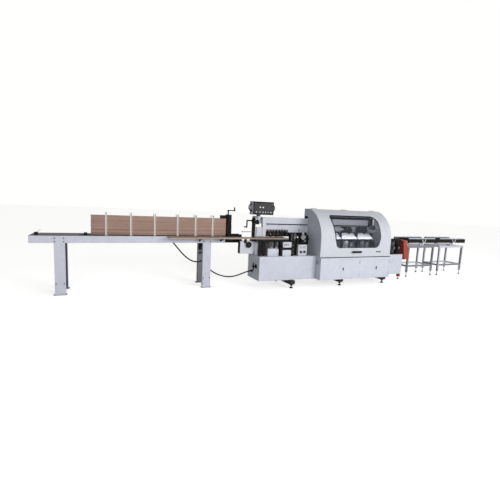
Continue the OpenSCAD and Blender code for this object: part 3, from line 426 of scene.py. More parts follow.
def soften(node, mat, width=0.002, zones=(), smooth=30, slot=None):
    """A copy of a CAD node with rounded edges. zones are (low, high, material) boxes that recolour faces."""
    mesh = NODES[node].data.copy()
    mesh.name = f"{node}_skin"
    mesh.materials.clear()
    for kind in [mat] + [z[2] for z in zones]:
        mesh.materials.append(MAT[kind])
    bm = bmesh.new()
    bm.from_mesh(mesh)
    bmesh.ops.remove_doubles(bm, verts=bm.verts, dist=2e-5)
    bmesh.ops.dissolve_limit(bm, angle_limit=math.radians(0.6), verts=bm.verts, edges=bm.edges)
    for face in bm.faces:
        face.material_index = 0
        middle = face.calc_center_median()
        for i, (low, high, _) in enumerate(zones):
            if all(l <= c <= h for l, c, h in zip(low, middle, high)):
                face.material_index = i + 1
    bm.to_mesh(mesh)
    bm.free()
    mesh.shade_smooth()
    mesh.set_sharp_from_angle(angle=math.radians(smooth))
    obj = bpy.data.objects.new(f"{node}_skin", mesh)
    bpy.context.scene.collection.objects.link(obj)
    if width:
        bevel = obj.modifiers.new("rounded edges", "BEVEL")
        bevel.width = width
        bevel.segments = 2
        bevel.limit_method = "ANGLE"
        bevel.angle_limit = math.radians(40)
        bevel.harden_normals = True
    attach(obj, BODY_OF[node])
    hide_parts(node)
    return obj


def refinish(node, mat):
    """A CAD node that keeps its shape gets its material."""
    slots = NODES[node].data.materials
    slots.clear()
    slots.append(MAT[mat])


# ------------------------------------------------------------------ cable

CABLE_D = 0.026
CABLE_RIB = 0.0009
CABLE_ROUTE = [(-2.810, 0.130, 0.855), (-2.787, 0.130, 0.826), (-2.740, 0.130, 0.768),
    (-2.687, 0.130, 0.705), (-2.640, 0.130, 0.652), (-2.590, 0.130, 0.603), (-2.540, 0.130, 0.562),
    (-2.492, 0.130, 0.530), (-2.444, 0.130, 0.506), (-2.394, 0.130, 0.492), (-2.345, 0.130, 0.488),
    (-2.300, 0.130, 0.495), (-2.262, 0.130, 0.512), (-2.225, 0.130, 0.525), (-2.190, 0.130, 0.512),
    (-2.166, 0.130, 0.474), (-2.145, 0.130, 0.420), (-2.112, 0.130, 0.360), (-2.068, 0.130, 0.306),
    (-1.989, 0.115, 0.256), (-1.912, 0.095, 0.222), (-1.816, 0.065, 0.196), (-1.721, 0.035, 0.189),
    (-1.643, 0.015, 0.198), (-1.567, -0.005, 0.219), (-1.481, -0.030, 0.254), (-1.410, -0.052, 0.286),
    (-1.355, -0.068, 0.306), (-1.310, -0.076, 0.315)]


def smooth_path(route, steps):
    """Points of the Catmull-Rom curve through route, steps to each span."""
    points = [Vector(p) for p in route]
    last = len(points) - 1
    path = []
    for i in range(last):
        a, b, c, d = (points[max(0, min(last, i + k))] for k in (-1, 0, 1, 2))
        for k in range(steps):
            t = k / steps
            path.append(0.5 * (2 * b + (c - a) * t + (2 * a - 5 * b + 4 * c - d) * t * t
                               + (3 * b - a - 3 * c + d) * t ** 3))
    return path + [points[last]]


def make_cable():
    """Ribbed conduit between the feeder and the machine."""
    path = smooth_path(CABLE_ROUTE, 22)
    piece = Piece("feeder_conduit", ROOT, "rubber")
    piece.tube(path, CABLE_D, 14, CABLE_RIB)
    obj = piece.done("feeder_cable", smooth=60)
    glands = soften("cable_glands", "black_plastic", 0.001)


# ------------------------------------------------------------------ detailed pieces

INFEED_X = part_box("base_infeed")[0].x
MAIN_X, MAIN_END_X = (corner.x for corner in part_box("base_main"))
OUTFEED_X = MAIN_END_X + 0.010
FEEDER_END_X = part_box("feeder_frame")[1].x
HOOD_MIDDLE_X = (MAIN_X + MAIN_END_X) / 2
STRIP_Y = (STRIP_LOW.y + STRIP_HIGH.y) / 2
INFEED_TOP, MAIN_TOP, OUTFEED_TOP = (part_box(f"base_{part}")[1].z for part in ("infeed", "main", "outfeed"))
PLATE_Y = 0.058  # front of the pressure beam's plate
FAR = 9.0  # beyond every piece, for the open sides of recoloured zones


def finned(piece, origin, axis, length, d, pitch=0.013):
    """Motor housing with cooling fins round it and a fan cover at its far end."""
    r = d / 2
    outline = [(0, r * 0.9), (0.008, r)]
    h = 0.018
    while h < length - 0.06:
        outline += [(h, r), (h + 0.002, r * 0.84), (h + pitch - 0.005, r * 0.84), (h + pitch - 0.003, r)]
        h += pitch
    outline += [(length - 0.045, r), (length - 0.04, r * 0.95),
                (length - 0.006, r * 0.92), (length, r * 0.78)]
    piece.lathe(origin, axis, outline, 36)


def make_strips():
    """The stacked strips, each cut a little differently and laid a little askew."""
    low, high = STRIP_LOW, STRIP_HIGH
    p = Piece("magazine_strips", ROOT, "strip_wood")
    for i in range(STRIPS):
        z = low.z + i * STRIP_PITCH
        a, b, y = rng.uniform(0, 0.005), rng.uniform(0, 0.004), rng.uniform(-0.0004, 0.0004)
        p.box((low.x + a, low.y + y, z), (high.x - b, high.y + y, z + STRIP_PITCH - 0.0003), 0.0012)
    p.done("strip_stack")


def make_gate_crank():
    """Gate screw with a level crank arm and an upright grip."""
    low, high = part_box("gate_crank")
    arm = 0.132
    x, y, z = high.x - arm - 0.014, STRIP_Y, high.z - 0.072
    p = Piece("gate_handle", BODY_OF["gate_crank"], "black_paint")
    p.rod((x, y, low.z), Z, z - low.z, 0.014, 0.001)
    p.lathe((x, y, z - 0.071), Z, [(0, 0.015), (0.006, 0.016), (0.012, 0.013), (0.05, 0.013), (0.07, 0.016)])
    for dx in (0, arm):
        p.lathe((x + dx, y, z - 0.001), Z, [(0, 0.015), (0.003, 0.018), (0.018, 0.018), (0.022, 0.014)])
    p.prism([(x, y - 0.011), (x + arm, y - 0.008), (x + arm, y + 0.008), (x, y + 0.011)],
            2, z, z + 0.019, 0.003)
    p.lathe((x + arm, y, z + 0.012), Z,
            [(0, 0.011), (0.004, 0.0135), (0.03, 0.0138), (0.048, 0.0125), (0.058, 0.0135), (0.064, 0.009)])
    p.done("gate_crank")


def make_height_crank():
    """Shaft of the pressure beam's screw, with a hanging crank arm and its grip."""
    low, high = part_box("height_crank")
    arm = 0.128
    x, y, z = low.x + 0.070, (low.y + high.y) / 2, high.z - 0.016
    p = Piece("height_handle", BODY_OF["height_crank"], "black_paint")
    p.rod((x, y, z), X, 0.14, 0.02, 0.001)
    p.lathe((x, y, z), X, [(0, 0.012), (0.01, 0.0128), (0.08, 0.0128), (0.094, 0.0105)])
    for end_z in (z, z - arm):
        p.lathe((x - 0.016, y, end_z), X, [(0, 0.012), (0.003, 0.016), (0.014, 0.016), (0.017, 0.013)])
    p.prism([(y - 0.014, z), (y - 0.012, z - arm), (y + 0.012, z - arm), (y + 0.014, z)],
            0, x - 0.018, x + 0.002, 0.003)
    p.lathe((x - 0.070, y, z - arm), X,
            [(0, 0.009), (0.004, 0.0125), (0.02, 0.0108), (0.045, 0.0128), (0.052, 0.0118), (0.055, 0.008)])
    p.done("height_crank")


def make_control_box():
    """Box with a dark front panel, rims at its edges and a bent grip at each side."""
    near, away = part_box("control_box")
    low, high = Vector((INFEED_X - 0.048, near.y, near.z)), Vector((INFEED_X + 0.39, away.y, away.z))
    p = Piece("control_panel", BODY_OF["control_box"], "dark_grey_paint")
    p.mat = "light_grey_paint"
    p.box((low.x, low.y + 0.012, low.z + 0.006), (high.x, high.y, high.z - 0.006), 0.005)
    p.mat = "dark_panel"
    p.box((low.x + 0.014, low.y, low.z + 0.014), (high.x - 0.014, low.y + 0.014, high.z - 0.014), 0.001)
    p.mat = "black_plastic"
    rim, lip = 0.024, 0.012
    for z, lip_z in ((low.z, low.z), (high.z - rim, high.z - lip)):
        p.box((low.x, low.y - 0.003, z), (high.x, low.y + 0.03, z + rim), 0.004)
        p.box((low.x, low.y + 0.029, lip_z), (high.x, high.y, lip_z + lip), 0.003)
    for x in (low.x, high.x - 0.016):
        p.box((x, low.y - 0.002, low.z + 0.01), (x + 0.016, low.y + 0.02, high.z - 0.01), 0.003)
    for x, side in ((low.x + 0.0005, -1), (high.x - 0.0005, 1)):
        middle = Vector((x, low.y + 0.09, low.z + 0.136))
        arc = [middle + Vector((side * 0.064 * math.cos(t), 0, 0.064 * math.sin(t)))
               for t in (math.pi * (k / 20 - 0.5) for k in range(21))]
        p.tube(arc, 0.023)
        for end in (arc[0], arc[-1]):
            p.rod(end - Vector((side * 0.002, 0, 0)), X * side, 0.006, 0.03)
    p.mat = "zinc"
    for x in (low.x + 0.03, high.x - 0.03):
        for z in (low.z + 0.036, high.z - 0.036):
            p.rod((x, low.y + 0.001, z), -Y, 0.003, 0.009, 0.0008, 14)
    p.done("control_box")


def make_feed_units():
    """Infeed and glue units with recoloured parts, and the glue unit's fittings."""
    x0 = INFEED_X
    soften("infeed_unit", "white_paint", 0.002, [((-FAR, -FAR, 0), (x0 - 0.2685, FAR, FAR), "black_paint")])
    soften("glue_unit", "black_paint", 0.002, [
        ((x0 + 0.2, -0.31, 0), (x0 + 0.431, -0.05, 0.906), "mid_grey_paint"),
        ((x0 + 0.519, -0.336, 0), (x0 + 0.713, -0.244, 0.766), "white_paint"),
        ((x0 + 0.519, -0.336, 0.814), (x0 + 0.713, -0.244, 0.923), "white_paint"),
        ((x0 + 0.78, -0.21, 0.95), (x0 + 0.88, -0.04, 1.05), "mid_grey_paint")])
    p = Piece("glue_fittings", ROOT, "dark_steel")
    p.mat = "black_paint"
    p.box((-1.502, -0.168, 0.885), (-1.452, -0.140, 0.9585), 0.003)
    for i, tone in enumerate(("bronze", "dark_steel", "black_paint", "dark_steel")):
        x = x0 + 0.235 + 0.055 * i
        p.mat = tone
        p.box((x - 0.02, -0.318, 0.80 + 0.03 * (i % 2)), (x + 0.02, -0.298, 0.925), 0.003)
        p.rod((x, -0.235, 0.90), Z, 0.045, 0.03)
    p.mat = "light_grey_paint"
    p.box((x0 + 0.20, -0.315, INFEED_TOP), (x0 + 0.44, -0.298, 0.79), 0.003)
    p.mat = "black_paint"
    p.tube(smooth_path([(x0 + 0.455, -0.34, 0.66), (x0 + 0.475, -0.345, 0.74), (x0 + 0.45, -0.345, 0.80),
                        (x0 + 0.50, -0.345, 0.86)], 8), 0.022)
    p.mat = "black_plastic"
    p.rod((x0 + 0.49, -0.34, 0.80), -Y, 0.02, 0.06)
    p.rod((x0 + 0.49, -0.36, 0.80), Z, 0.05, 0.018)
    p.box((x0 + 0.47, -0.305, 0.84), (x0 + 0.52, -0.24, 0.93), 0.006)
    p.tube(smooth_path([(x0 + 0.44, -0.24, 0.68), (x0 + 0.46, -0.32, 0.72), (x0 + 0.48, -0.33, 0.80),
                        (x0 + 0.46, -0.28, 0.88), (x0 + 0.41, -0.24, 0.93)], 8), 0.014)
    p.tube(smooth_path([(x0 + 0.62, -0.25, 0.74), (x0 + 0.66, -0.20, 0.82), (x0 + 0.72, -0.22, 0.96),
                        (x0 + 0.80, -0.24, 0.90), (x0 + 0.85, -0.22, 0.76)], 8), 0.012)
    p.mat = "dark_steel"
    for x in (x0 + 0.555, x0 + 0.675):
        p.rod((x, -0.29, 0.76), Z, 0.06, 0.024)
    for x in (x0 + 0.56, x0 + 0.60, x0 + 0.64):
        p.rod((x, -0.336, 0.868), -Y, 0.004, 0.028)
    p.mat = "zinc"
    for x in (x0 + 0.535, x0 + 0.697):
        for z in (0.665, 0.748, 0.83, 0.907):
            p.bolt((x, -0.335, z), -Y, 0.008, False)
    for x in (x0 + 0.735, x0 + 0.763):
        for z in (0.70, 0.78, 0.86):
            p.bolt((x, -0.33, z), -Y, 0.008, False)
    p.done()


def make_edge_guides():
    """Edge-band guides beside the hood's infeed end, on their rail."""
    p = Piece("edge_guides", ROOT, "dark_steel")
    tones = ("black_paint", "dark_steel", "black_paint", "mid_grey_paint", "black_paint")
    for i, (x, tone) in enumerate(zip((-0.42, -0.34, -0.20, -0.12, -0.06), tones)):
        p.mat = tone
        p.box((x - 0.022, -0.14, 0.90), (x + 0.022, -0.03, 1.03 + 0.02 * (i % 3)), 0.004)
        p.mat = "steel"
        p.rod((x, -0.10, 1.02), Z, 0.055 + 0.01 * (i % 2), 0.016)
        p.mat = "black_plastic"
        p.rod((x, -0.145, 0.97), -Y, 0.03, 0.034)
    p.mat = "black_paint"
    p.box((-0.50, -0.13, 0.86), (-0.03, -0.03, 0.905), 0.004)
    p.mat = "red_plastic"
    p.rod((-0.27, -0.205, 1.0), Z, 0.02, 0.03)
    p.done()


def make_handwheel():
    """Dished handwheel of the fence, with its hub, shaft and nut."""
    low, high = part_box("fence_handwheel")
    x, z, r = (low.x + high.x) / 2, (low.z + high.z) / 2, (high.x - low.x) / 2
    y = -0.184
    p = Piece("fence_wheel", BODY_OF["fence_handwheel"], "black_plastic")
    p.lathe((x, y, z), Y,
            [(0.004, r - 0.012), (0.007, r - 0.004), (0.003, r), (-0.003, r), (-0.007, r - 0.004),
             (-0.005, r - 0.012), (0.001, r - 0.022), (0.001, 0.03), (-0.008, 0.024)], 48)
    p.lathe((x, y - 0.012, z), Y, [(0, 0.01), (0.003, 0.014), (0.045, 0.014)])
    p.rod((x, y + 0.02, z), Y, 0.05, 0.016)
    p.mat = "zinc"
    p.lathe((x, y - 0.013, z), Y, [(0, 0.004), (0.001, 0.006), (0.003, 0.006)], 6)
    p.done("fence_handwheel")


def make_regulators():
    """Box with two pressure gauges, each above its regulator's collar."""
    low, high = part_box("regulator_box")
    face_y, gauge_z = -0.32, 0.817
    p = Piece("air_regulators", ROOT, "white_paint")
    p.box((low.x, face_y, INFEED_TOP), (high.x, high.y, high.z), 0.004)
    for x in (low.x + 0.060, low.x + 0.145):
        p.mat = "mid_grey_paint"
        p.lathe((x, face_y, gauge_z), -Y,
                [(0, 0.025), (0.008, 0.0255), (0.0118, 0.0235), (0.012, 0.0215), (0.009, 0.0205)])
        p.mat = "gauge"
        p.rod((x, face_y, gauge_z), -Y, 0.0095, 0.041, 0.0005)
        p.mat = "black_plastic"
        needle_turn = Matrix.Rotation(0.7, 4, "Y")
        p.box((x - 0.001, -0.3305, gauge_z - 0.002), (x + 0.014, -0.3292, gauge_z + 0.002), 0, needle_turn)
        p.rod((x, face_y, 0.722), -Y, 0.0025, 0.050)
    p.mat = "zinc"
    for x in (low.x + 0.012, high.x - 0.012):
        for z in (0.665, high.z - 0.012):
            p.rod((x, -0.319, z), -Y, 0.003, 0.009, 0.0008, 14)
    p.done("regulator_box")


def make_trim_units():
    """Three finishing heads on their slides, with their motors and chip covers."""
    p = Piece("finishing_heads", ROOT, "mid_grey_paint")
    tones = ("white_paint", "light_grey_paint", "mid_grey_paint")
    for i in range(3):
        x = MAIN_X + 0.42 + 0.43 * i
        p.mat = "mid_grey_paint"
        p.box((x - 0.11, -0.33, MAIN_TOP), (x + 0.11, -0.09, MAIN_TOP + 0.06), 0.004)
        p.mat = "dark_steel"
        p.box((x - 0.06, -0.18, MAIN_TOP + 0.06), (x + 0.06, -0.09, 1.08), 0.004)
        p.mat = tones[i]
        finned(p, (x - 0.07, -0.30, MAIN_TOP + 0.06), Z, 0.28, 0.11)
        p.mat = tones[min(i + 1, 2)]
        finned(p, (x + 0.08, -0.30, MAIN_TOP + 0.06), Z, 0.23, 0.09)
        p.mat = "white_paint"
        p.prism([(-0.36, 0.99), (-0.06, 0.99), (-0.06, 1.11), (-0.21, 1.11)], 0, x - 0.2, x + 0.2, 0.003)
        p.mat = "black_paint"
        p.box((x - 0.2, -0.352, 0.955), (x + 0.2, -0.19, 0.991), 0.002)
        p.box((x + 0.2, -0.33, 0.96), (x + 0.225, -0.10, 1.13), 0.002)
        p.rod((x + 0.06, -0.22, 1.09), Z, 0.04, 0.05)
        p.mat = "zinc"
        for dx in (-0.08, 0.08):
            p.bolt((x + dx, -0.33, MAIN_TOP + 0.03), -Y, 0.01)
    p.done("trim_units")


def make_head_slides():
    """Motors, slides and pale covers between and above the finishing heads."""
    q = Piece("head_slides", ROOT, "dark_steel")
    for x, kind in ((0.16, "light_grey_paint"), (0.30, "white_paint"), (0.66, "mid_grey_paint"),
                    (1.08, "mid_grey_paint"), (1.50, "dark_steel"), (1.64, "black_paint"),
                    (1.76, "mid_grey_paint")):
        q.mat = kind
        finned(q, (x, -0.19, MAIN_TOP + 0.02), Z, 0.30, 0.12)
    q.mat = "black_paint"
    for x in (0.90, 1.02, 1.30, 1.45):
        q.box((x - 0.045, -0.15, 1.09), (x + 0.045, -0.05, 1.24), 0.005)
        q.rod((x, -0.15, 1.17), -Y, 0.05, 0.06)
    q.mat = "white_paint"
    q.box((1.50, -0.16, 1.13), (1.80, -0.05, 1.20), 0.004)
    q.box((0.10, -0.14, 1.16), (0.98, -0.10, 1.205), 0.004)
    q.box((1.50, -0.18, 1.22), (1.74, -0.14, 1.245), 0.003)
    q.mat = "dark_steel"
    q.rod((1.62, -0.16, 1.24), -Y, 0.06, 0.10)
    q.done()


def make_buff_motors():
    """Two upright buffing motors at the outfeed end, and the dark frame beside them."""
    z0 = OUTFEED_TOP
    x0 = OUTFEED_X + 0.265
    p = Piece("buffing_motors", ROOT, "black_paint")
    p.box((x0, -0.29, z0), (x0 + 0.32, -0.13, z0 + 0.024), 0.003)
    stations = (x0 + 0.08, x0 + 0.225)
    for x, housing in zip(stations, ("dark_steel", "black_paint")):
        p.mat = housing
        finned(p, (x, -0.215, z0 + 0.024), Z, 0.27, 0.124)
        p.mat = "black_plastic"
        p.rod((x, -0.215, z0 + 0.294), Z, 0.04, 0.09)
    p.box((x0 + 0.01, -0.24, z0 + 0.334), (x0 + 0.31, -0.15, z0 + 0.36), 0.003)
    p.mat = "dark_steel"
    for x in stations:
        p.rod((x, -0.277, z0 + 0.15), -Y, 0.018, 0.07)
    p.done("buff_motors")
    q = Piece("buffing_frame", ROOT, "black_paint")
    q.box((OUTFEED_X + 0.02, -0.20, z0), (OUTFEED_X + 0.24, -0.10, z0 + 0.28), 0.004)
    q.box((OUTFEED_X + 0.01, -0.24, z0 + 0.30), (x0 + 0.34, -0.08, z0 + 0.335), 0.003)
    for x, z, d, kind in ((0.06, 0.20, 0.09, "dark_steel"), (0.15, 0.13, 0.07, "black_plastic"),
                          (0.20, 0.24, 0.06, "black_plastic")):
        q.mat = kind
        q.rod((OUTFEED_X + x, -0.20, z0 + z), -Y, 0.05, d)
    q.done()


def make_beam_plate():
    """The beam, recoloured below its seam, and the seam's strip, screws and clips."""
    soften("pressure_beam", "white_paint", 0.003, [
        ((-0.985, 0.0, 0.0), (FAR, FAR, 1.2578), "light_grey_paint"),
        ((0.0, 0.0, 0.0), (FAR, 0.2, 1.1), "mid_grey_paint")])
    p = Piece("beam_plate_screws", BODY_OF["pressure_beam"], "zinc")
    p.mat = "rubber"
    p.box((-0.988, 0.0475, 1.242), (1.695, 0.0572, 1.263), 0.002)
    p.mat = "zinc"
    for i in range(11):
        p.bolt((-0.92 + 0.26 * i, PLATE_Y, 1.225), -Y, 0.009)
    p.mat = "black_paint"
    for i in range(3):
        x = -0.84 + 0.27 * i
        p.box((x, 0.050, 1.245), (x + 0.024, PLATE_Y, 1.262), 0.001)
    p.done()


def make_roller_forks():
    """Row of small forks and springs on the front of the beam, above the panels' path."""
    q = Piece("roller_forks", BODY_OF["pressure_beam"], "dark_steel")
    q.mat = "black_paint"
    q.box((-1.0, 0.0505, 1.088), (-0.46, 0.0578, 1.112), 0.002)
    for i in range(17):
        x = -0.985 + 0.033 * i
        q.mat = ("bronze", "dark_steel", "black_paint")[i % 3]
        q.box((x - 0.012, 0.036, 1.03 + 0.012 * (i % 3)), (x + 0.012, 0.0578, 1.125), 0.003)
        q.mat = "steel" if i % 2 else "bronze"
        q.rod((x, 0.034, 1.10), Z, 0.045, 0.018)
        q.mat = "black_plastic"
        q.rod((x, 0.040, 1.075), -Y, 0.008, 0.022)
    q.done()


def make_rear_rollers():
    """Second row of pressure rollers on their hangers, with a rubber skirt behind them."""
    axis_z = 1.0265
    w = Piece("rear_rollers", BODY_OF["pressure_beam"], "rubber")
    for i in range(13):
        x = -0.965 + 0.075 * i
        w.mat = "rubber"
        w.lathe((x, 0.100, axis_z), Y, [(0, 0.030), (0.003, 0.034), (0.025, 0.034), (0.028, 0.030)], 28)
        w.mat = "mid_grey_paint"
        w.lathe((x, 0.097, axis_z), Y, [(0, 0.014), (0.002, 0.017), (0.005, 0.017)], 20)
        w.mat = "dark_steel"
        w.box((x - 0.014, 0.131, 1.015), (x + 0.014, 0.137, 1.262), 0.002)
        w.rod((x, 0.095, axis_z), Y, 0.042, 0.012)
        w.mat = "black_paint"
        w.box((x - 0.022, 0.126, 1.06), (x + 0.022, 0.150, 1.13), 0.004)
    w.mat = "rubber"
    for i in range(26):
        x = -1.005 + 0.0385 * i
        w.box((x, 0.152, 0.9875), (x + 0.0375, 0.158, 1.075), 0.0015)
    w.mat = "mid_grey_paint"
    w.box((-1.01, 0.150, 1.066), (0.0, 0.160, 1.09), 0.002)
    w.done()


def make_post_gearbox():
    """Gearbox and collar on the beam's post, the bar behind the board and the rod at the infeed."""
    r = Piece("post_gearbox", ROOT, "black_paint")
    r.box((-1.255, -0.045, 1.245), (-1.15, 0.038, 1.335), 0.006)
    r.mat = "light_grey_paint"
    r.lathe((INFEED_X + 0.10, -0.02, 1.335), Z, [(0, 0.03), (0.03, 0.045), (0.072, 0.06)])
    r.mat = "dark_steel"
    r.box((-1.188, 0.040, 0.950), (-0.545, 0.050, 0.995), 0.002)
    r.mat = "steel"
    r.rod((-1.48, 0.03, 1.09), X, 0.215, 0.014)
    r.rod((-1.49, 0.03, 1.09), X, 0.02, 0.024)
    r.mat = "zinc"
    for z in (1.26, 1.32):
        for x in (-1.245, -1.16):
            r.bolt((x, -0.045, z), -Y, 0.008)
    r.done()


def make_hood_plate():
    """Small blank plate where the machine has its name plate."""
    p = Piece("hood_plate", BODY_OF["hood_cover"], "black_plastic")
    p.box((1.46, -0.5325, 0.722), (1.60, -0.5295, 0.744), 0.001)
    p.mat = "zinc"
    for x in (1.466, 1.594):
        p.rod((x, -0.532, 0.733), -Y, 0.0015, 0.006, 0.0005, 12)
    p.done()


def make_curtain():
    """Overlapping rubber flaps behind the pressure beam, above the panels' path."""
    p = Piece("rear_curtain", ROOT, "rubber")
    flaps = 30
    step = (MAIN_END_X - MAIN_X - 0.03) / flaps
    for i in range(flaps):
        x = MAIN_X + 0.012 + i * step
        y = 0.1905 + 0.0025 * (i % 2)
        p.box((x, y, 1.02 + rng.uniform(0, 0.003)), (x + step + 0.004, y + 0.002, 1.455), 0.0006)
    for i in range(4):
        x = MAIN_END_X - 0.030 + 0.003 * (i % 2)
        y = 0.062 + 0.03 * i
        p.box((x, y, 1.0), (x + 0.002, y + 0.033, 1.435), 0.0006)
    p.mat = "zinc"
    p.box((MAIN_X + 0.01, 0.188, 1.452), (MAIN_END_X - 0.012, 0.198, 1.475), 0.001)
    p.done()


def make_base_details():
    """Seal under the hood, louvre, switch collar, feet, and the bases' screws."""
    p = Piece("base_fittings", ROOT, "black_paint")
    p.mat = "rubber"
    p.box((MAIN_X + 0.004, -0.553, MAIN_TOP), (MAIN_END_X - 0.004, -0.531, MAIN_TOP + 0.011), 0.002)
    p.mat = "mid_grey_paint"
    slat_turn = Matrix.Rotation(0.35, 4, "Y")
    for i in range(5):
        z = 0.475 + 0.016 * i
        p.box((MAIN_X - 0.005, -0.49, z), (MAIN_X + 0.001, -0.40, z + 0.008), 0.001, slat_turn)
    p.mat = "black_plastic"
    p.lathe((INFEED_X, -0.235, 0.435), -X, [(0, 0.045), (0.006, 0.045), (0.009, 0.041)])
    p.mat = "black_paint"
    for x in (INFEED_X + 0.725, MAIN_X + 0.627, MAIN_END_X - 0.037):
        for y in (-0.40, 0.27):
            p.lathe((x, y, 0), Z, [(0.0, 0.036), (0.010, 0.038), (0.016, 0.030), (0.028, 0.016)], 28)
            p.lathe((x, y, 0.048), Z, [(0, 0.024), (0.003, 0.027), (0.024, 0.027), (0.026, 0.025)], 6)
    p.mat = "zinc"
    for z in (0.20, 0.37, 0.57):
        p.bolt((INFEED_X, -0.36, z), -X, 0.008)
    for i in range(6):
        x = INFEED_X + 0.04 + 0.245 * i
        p.rod((x, -0.389, INFEED_TOP - 0.02), -Y, 0.003, 0.01, 0.0008, 14)
    for i in range(3):
        x = OUTFEED_X + 0.04 + 0.265 * i
        p.rod((x, -0.309, OUTFEED_TOP - 0.02), -Y, 0.003, 0.01, 0.0008, 14)
    p.done()


def make_feeder_details():
    """Feeder legs, darker at the back with painted shade, the magazine's posts and the air service unit."""
    # Painted shade: the rear legs and feet behind y 0.38, up to z 0.864, take mid grey paint.
    rear_leg_painted_shade = ((-FAR, 0.38, 0.0), (FAR, FAR, 0.864), "mid_grey_paint")
    soften("feeder_legs", "light_grey_paint", 0.002, [rear_leg_painted_shade])
    soften("feeder_feet", "light_grey_paint", 0.0015, [rear_leg_painted_shade])
    soften("magazine_posts", "cream_paint", 0.0008, slot="white_paint")
    p = Piece("air_service_unit", ROOT, "black_plastic")
    x = FEEDER_END_X - 0.36
    p.box((x - 0.03, 0.43, 0.76), (x + 0.03, 0.48, 0.80), 0.004)
    for dx in (-0.028, 0.028):
        p.lathe((x + dx, 0.455, 0.76), -Z, [(0, 0.018), (0.01, 0.021), (0.07, 0.021), (0.085, 0.012)])
    p.rod((x - 0.028, 0.455, 0.80), Z, 0.03, 0.034)
    p.mat = "dark_steel"
    p.box((x - 0.04, 0.42, 0.60), (x + 0.04, 0.47, 0.64), 0.003)
    p.done()


def make_outfeed_details():
    """Outfeed rails with pale tops, their frames with painted shade on the legs' middle, the drive motor and
    the rails' brackets.
    """
    soften("outfeed_rails", "black_paint", 0.002,
           [((-FAR, -FAR, 0.9601), (FAR, FAR, FAR), "light_grey_paint")])
    soften("drive_gearmotor", "mid_grey_paint", 0.003)
    # Painted shade: the frames' band from z 0.30 to 0.60 takes mid grey paint.
    soften("outfeed_frames", "light_grey_paint", 0.002,
           [((-FAR, -FAR, 0.30), (FAR, FAR, 0.60), "mid_grey_paint")])
    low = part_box("outfeed_rails")[0]
    foot_z, top_z = 0.865, 0.955
    p = Piece("rail_brackets", ROOT, "light_grey_paint")
    for x in (3.54, 4.66):
        for side in (-1, 1):
            strut = [(foot_z, x + side * 0.012), (top_z, x + side * 0.052),
                     (top_z, x + side * 0.074), (foot_z, x + side * 0.034)]
            p.prism(strut, 1, low.y - 0.006, low.y + 0.001, 0.001)
        p.box((x - 0.03, low.y - 0.008, 0.862), (x + 0.03, low.y, 0.880), 0.002)
    p.mat = "black_paint"
    p.box((3.995, low.y - 0.004, 0.866), (4.115, low.y + 0.02, 0.956), 0.003)
    p.done()


# ------------------------------------------------------------------ stage

FLOOR_R = 60.0


def make_floor():
    """Wide white disc that glows a little for the camera, so that it meets the background."""
    mesh = bpy.data.meshes.new("floor")
    rim = [FLOOR_R * spoke for spoke in circle(X, Y, 64)]
    mesh.from_pydata(rim, [], [tuple(range(len(rim)))])
    floor = bpy.data.objects.new("floor", mesh)
    bpy.context.scene.collection.objects.link(floor)
    s = Shader("floor")
    s.link(s.ramp(s.noise(0.6, 3.0), [(0.3, (0.86, 0.86, 0.86)), (0.7, (0.9, 0.9, 0.9))]),
           s.bsdf.inputs["Base Color"])
    rays = s.tree.nodes.new("ShaderNodeLightPath").outputs["Is Camera Ray"]
    s.link(s.spread(rays, 0.0, 0.62), s.bsdf.inputs["Emission Strength"])
    s.finish(Roughness=0.9, Emission_Color=(1, 1, 0.99, 1))
    mesh.materials.append(s.material)


def make_world():
    """White studio walls, darker at the line's infeed end and overhead; the camera sees plain white."""
    world = bpy.data.worlds.new("studio")
    bpy.context.scene.world = world
    world.use_nodes = True
    tree = world.node_tree
    coord = tree.nodes.new("ShaderNodeTexCoord")
    split = tree.nodes.new("ShaderNodeSeparateXYZ")
    tree.links.new(coord.outputs["Generated"], split.inputs[0])
    wall = map_range(tree, split.outputs["X"], -0.8, 0.5, 0.09, 1.0)
    wall.interpolation_type = "SMOOTHSTEP"
    ceiling = map_range(tree, split.outputs["Z"], 0.25, 0.85, 1.0, 0.38)
    lit = calculate(tree, "MULTIPLY", wall.outputs["Result"], ceiling.outputs["Result"])
    camera_ray = tree.nodes.new("ShaderNodeLightPath").outputs["Is Camera Ray"]
    background = tree.nodes["Background"]
    tree.links.new(calculate(tree, "MAXIMUM", lit, camera_ray), background.inputs["Strength"])
    background.inputs["Color"].default_value = (1.0, 1.0, 0.985, 1)


def make_light(name, place, target, size, power):
    """Rectangular lamp of size (width, height) that points at target and has no mirror image."""
    data = bpy.data.lights.new(name, "AREA")
    data.shape = "RECTANGLE"
    data.size, data.size_y = size
    data.energy = power
    light = bpy.data.objects.new(name, data)
    bpy.context.scene.collection.objects.link(light)
    light.location = place
    light.visible_glossy = False
    light.rotation_euler = (Vector(target) - Vector(place)).to_track_quat("-Z", "Y").to_euler()


# ------------------------------------------------------------------ CAD nodes that keep their shape

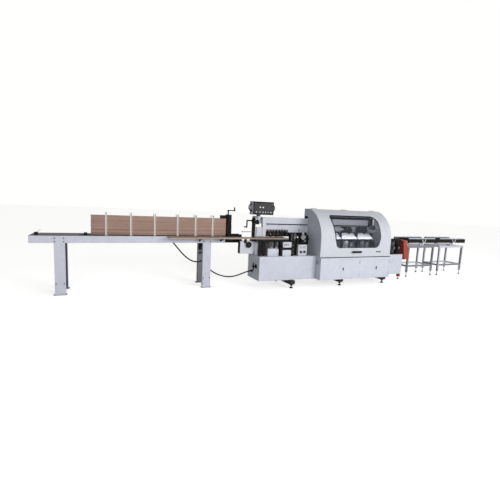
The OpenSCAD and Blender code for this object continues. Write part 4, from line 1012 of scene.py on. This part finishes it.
# Node, material and width of its rounded edges
SOFT = [
    ("feeder_frame", "light_grey_paint", 0.003), ("feed_table", "dark_steel", 0.001),
    ("limit_switches", "black_plastic", 0.002), ("switch_whisker", "steel", 0.0006),
    ("pusher", "dark_steel", 0.001), ("pusher_cylinder", "aluminium_extrusion", 0.001),
    ("holddown_weight", "black_paint", 0.002),
    ("gate_frame", "black_paint", 0.002), ("gate_slide", "dark_steel", 0.001),
    ("infeed_board", "board_wood", 0.001), ("board_supports", "black_paint", 0.0015),
    ("base_infeed", "light_grey_paint", 0.004), ("base_main", "light_grey_paint", 0.004),
    ("base_outfeed", "light_grey_paint", 0.004), ("foot_beams", "dark_grey_paint", 0.004),
    ("door_left", "light_grey_paint", 0.0012), ("door_right", "light_grey_paint", 0.0012),
    ("latch_left", "black_plastic", 0.001), ("latch_right", "black_plastic", 0.001),
    ("main_switch", "black_plastic", 0.002), ("track_bed", "mid_grey_paint", 0.002),
    ("beam_post", "black_paint", 0.003),
    ("control_arm", "mid_grey_paint", 0.003), ("selector_1", "white_plastic", 0.0012),
    ("selector_2", "white_plastic", 0.0012), ("panel_lamps", "white_plastic", 0.0015),
    ("regulator_knob_1", "black_plastic", 0.002),
    ("regulator_knob_2", "black_plastic", 0.002),
    ("pressure_roller_1", "rubber", 0.003), ("pressure_roller_2", "rubber", 0.003),
    ("pressure_roller_3", "rubber", 0.003), ("band_roller", "mid_grey_paint", 0.002),
    ("red_guard", "red_paint", 0.0015),
]
# Node and material
PLAIN = [
    ("feeder_bolts", "dark_bolt"), ("levelling_feet", "black_paint"), ("track_chain", "dark_steel"),
    ("hood_shell", "light_grey_paint"), ("hood_cover", "white_paint"), ("window_pane", "tinted_window"),
    ("window_trim", "rubber"), ("valve_lever", "black_paint"),
]

make_camera()
make_cable()
make_floor()
make_world()
make_light("key", (3.5, -9.5, 3.4), (0, 0, 0.8), (5.0, 4.0), 540)
make_light("fill", (-5.5, -9.0, 3.0), (-3.0, 0, 0.8), (4.0, 3.0), 200)
make_light("hood_lamp", (HOOD_MIDDLE_X, -0.10, 1.50), (HOOD_MIDDLE_X, -0.24, 1.0), (1.5, 0.1), 4)
make_light("hood_front_lamp", (HOOD_MIDDLE_X, -0.44, 1.10), (HOOD_MIDDLE_X, -0.25, 0.75), (1.4, 0.05), 5)
for row in SOFT:
    soften(*row)
for row in PLAIN:
    refinish(*row)
make_strips()
make_gate_crank()
make_height_crank()
make_control_box()
make_feed_units()
make_edge_guides()
make_handwheel()
make_regulators()
make_trim_units()
make_head_slides()
make_buff_motors()
make_beam_plate()
make_roller_forks()
make_rear_rollers()
make_post_gearbox()
make_curtain()
make_hood_plate()
make_base_details()
make_feeder_details()
make_outfeed_details()

bpy.context.scene.view_settings.view_transform = "Standard"
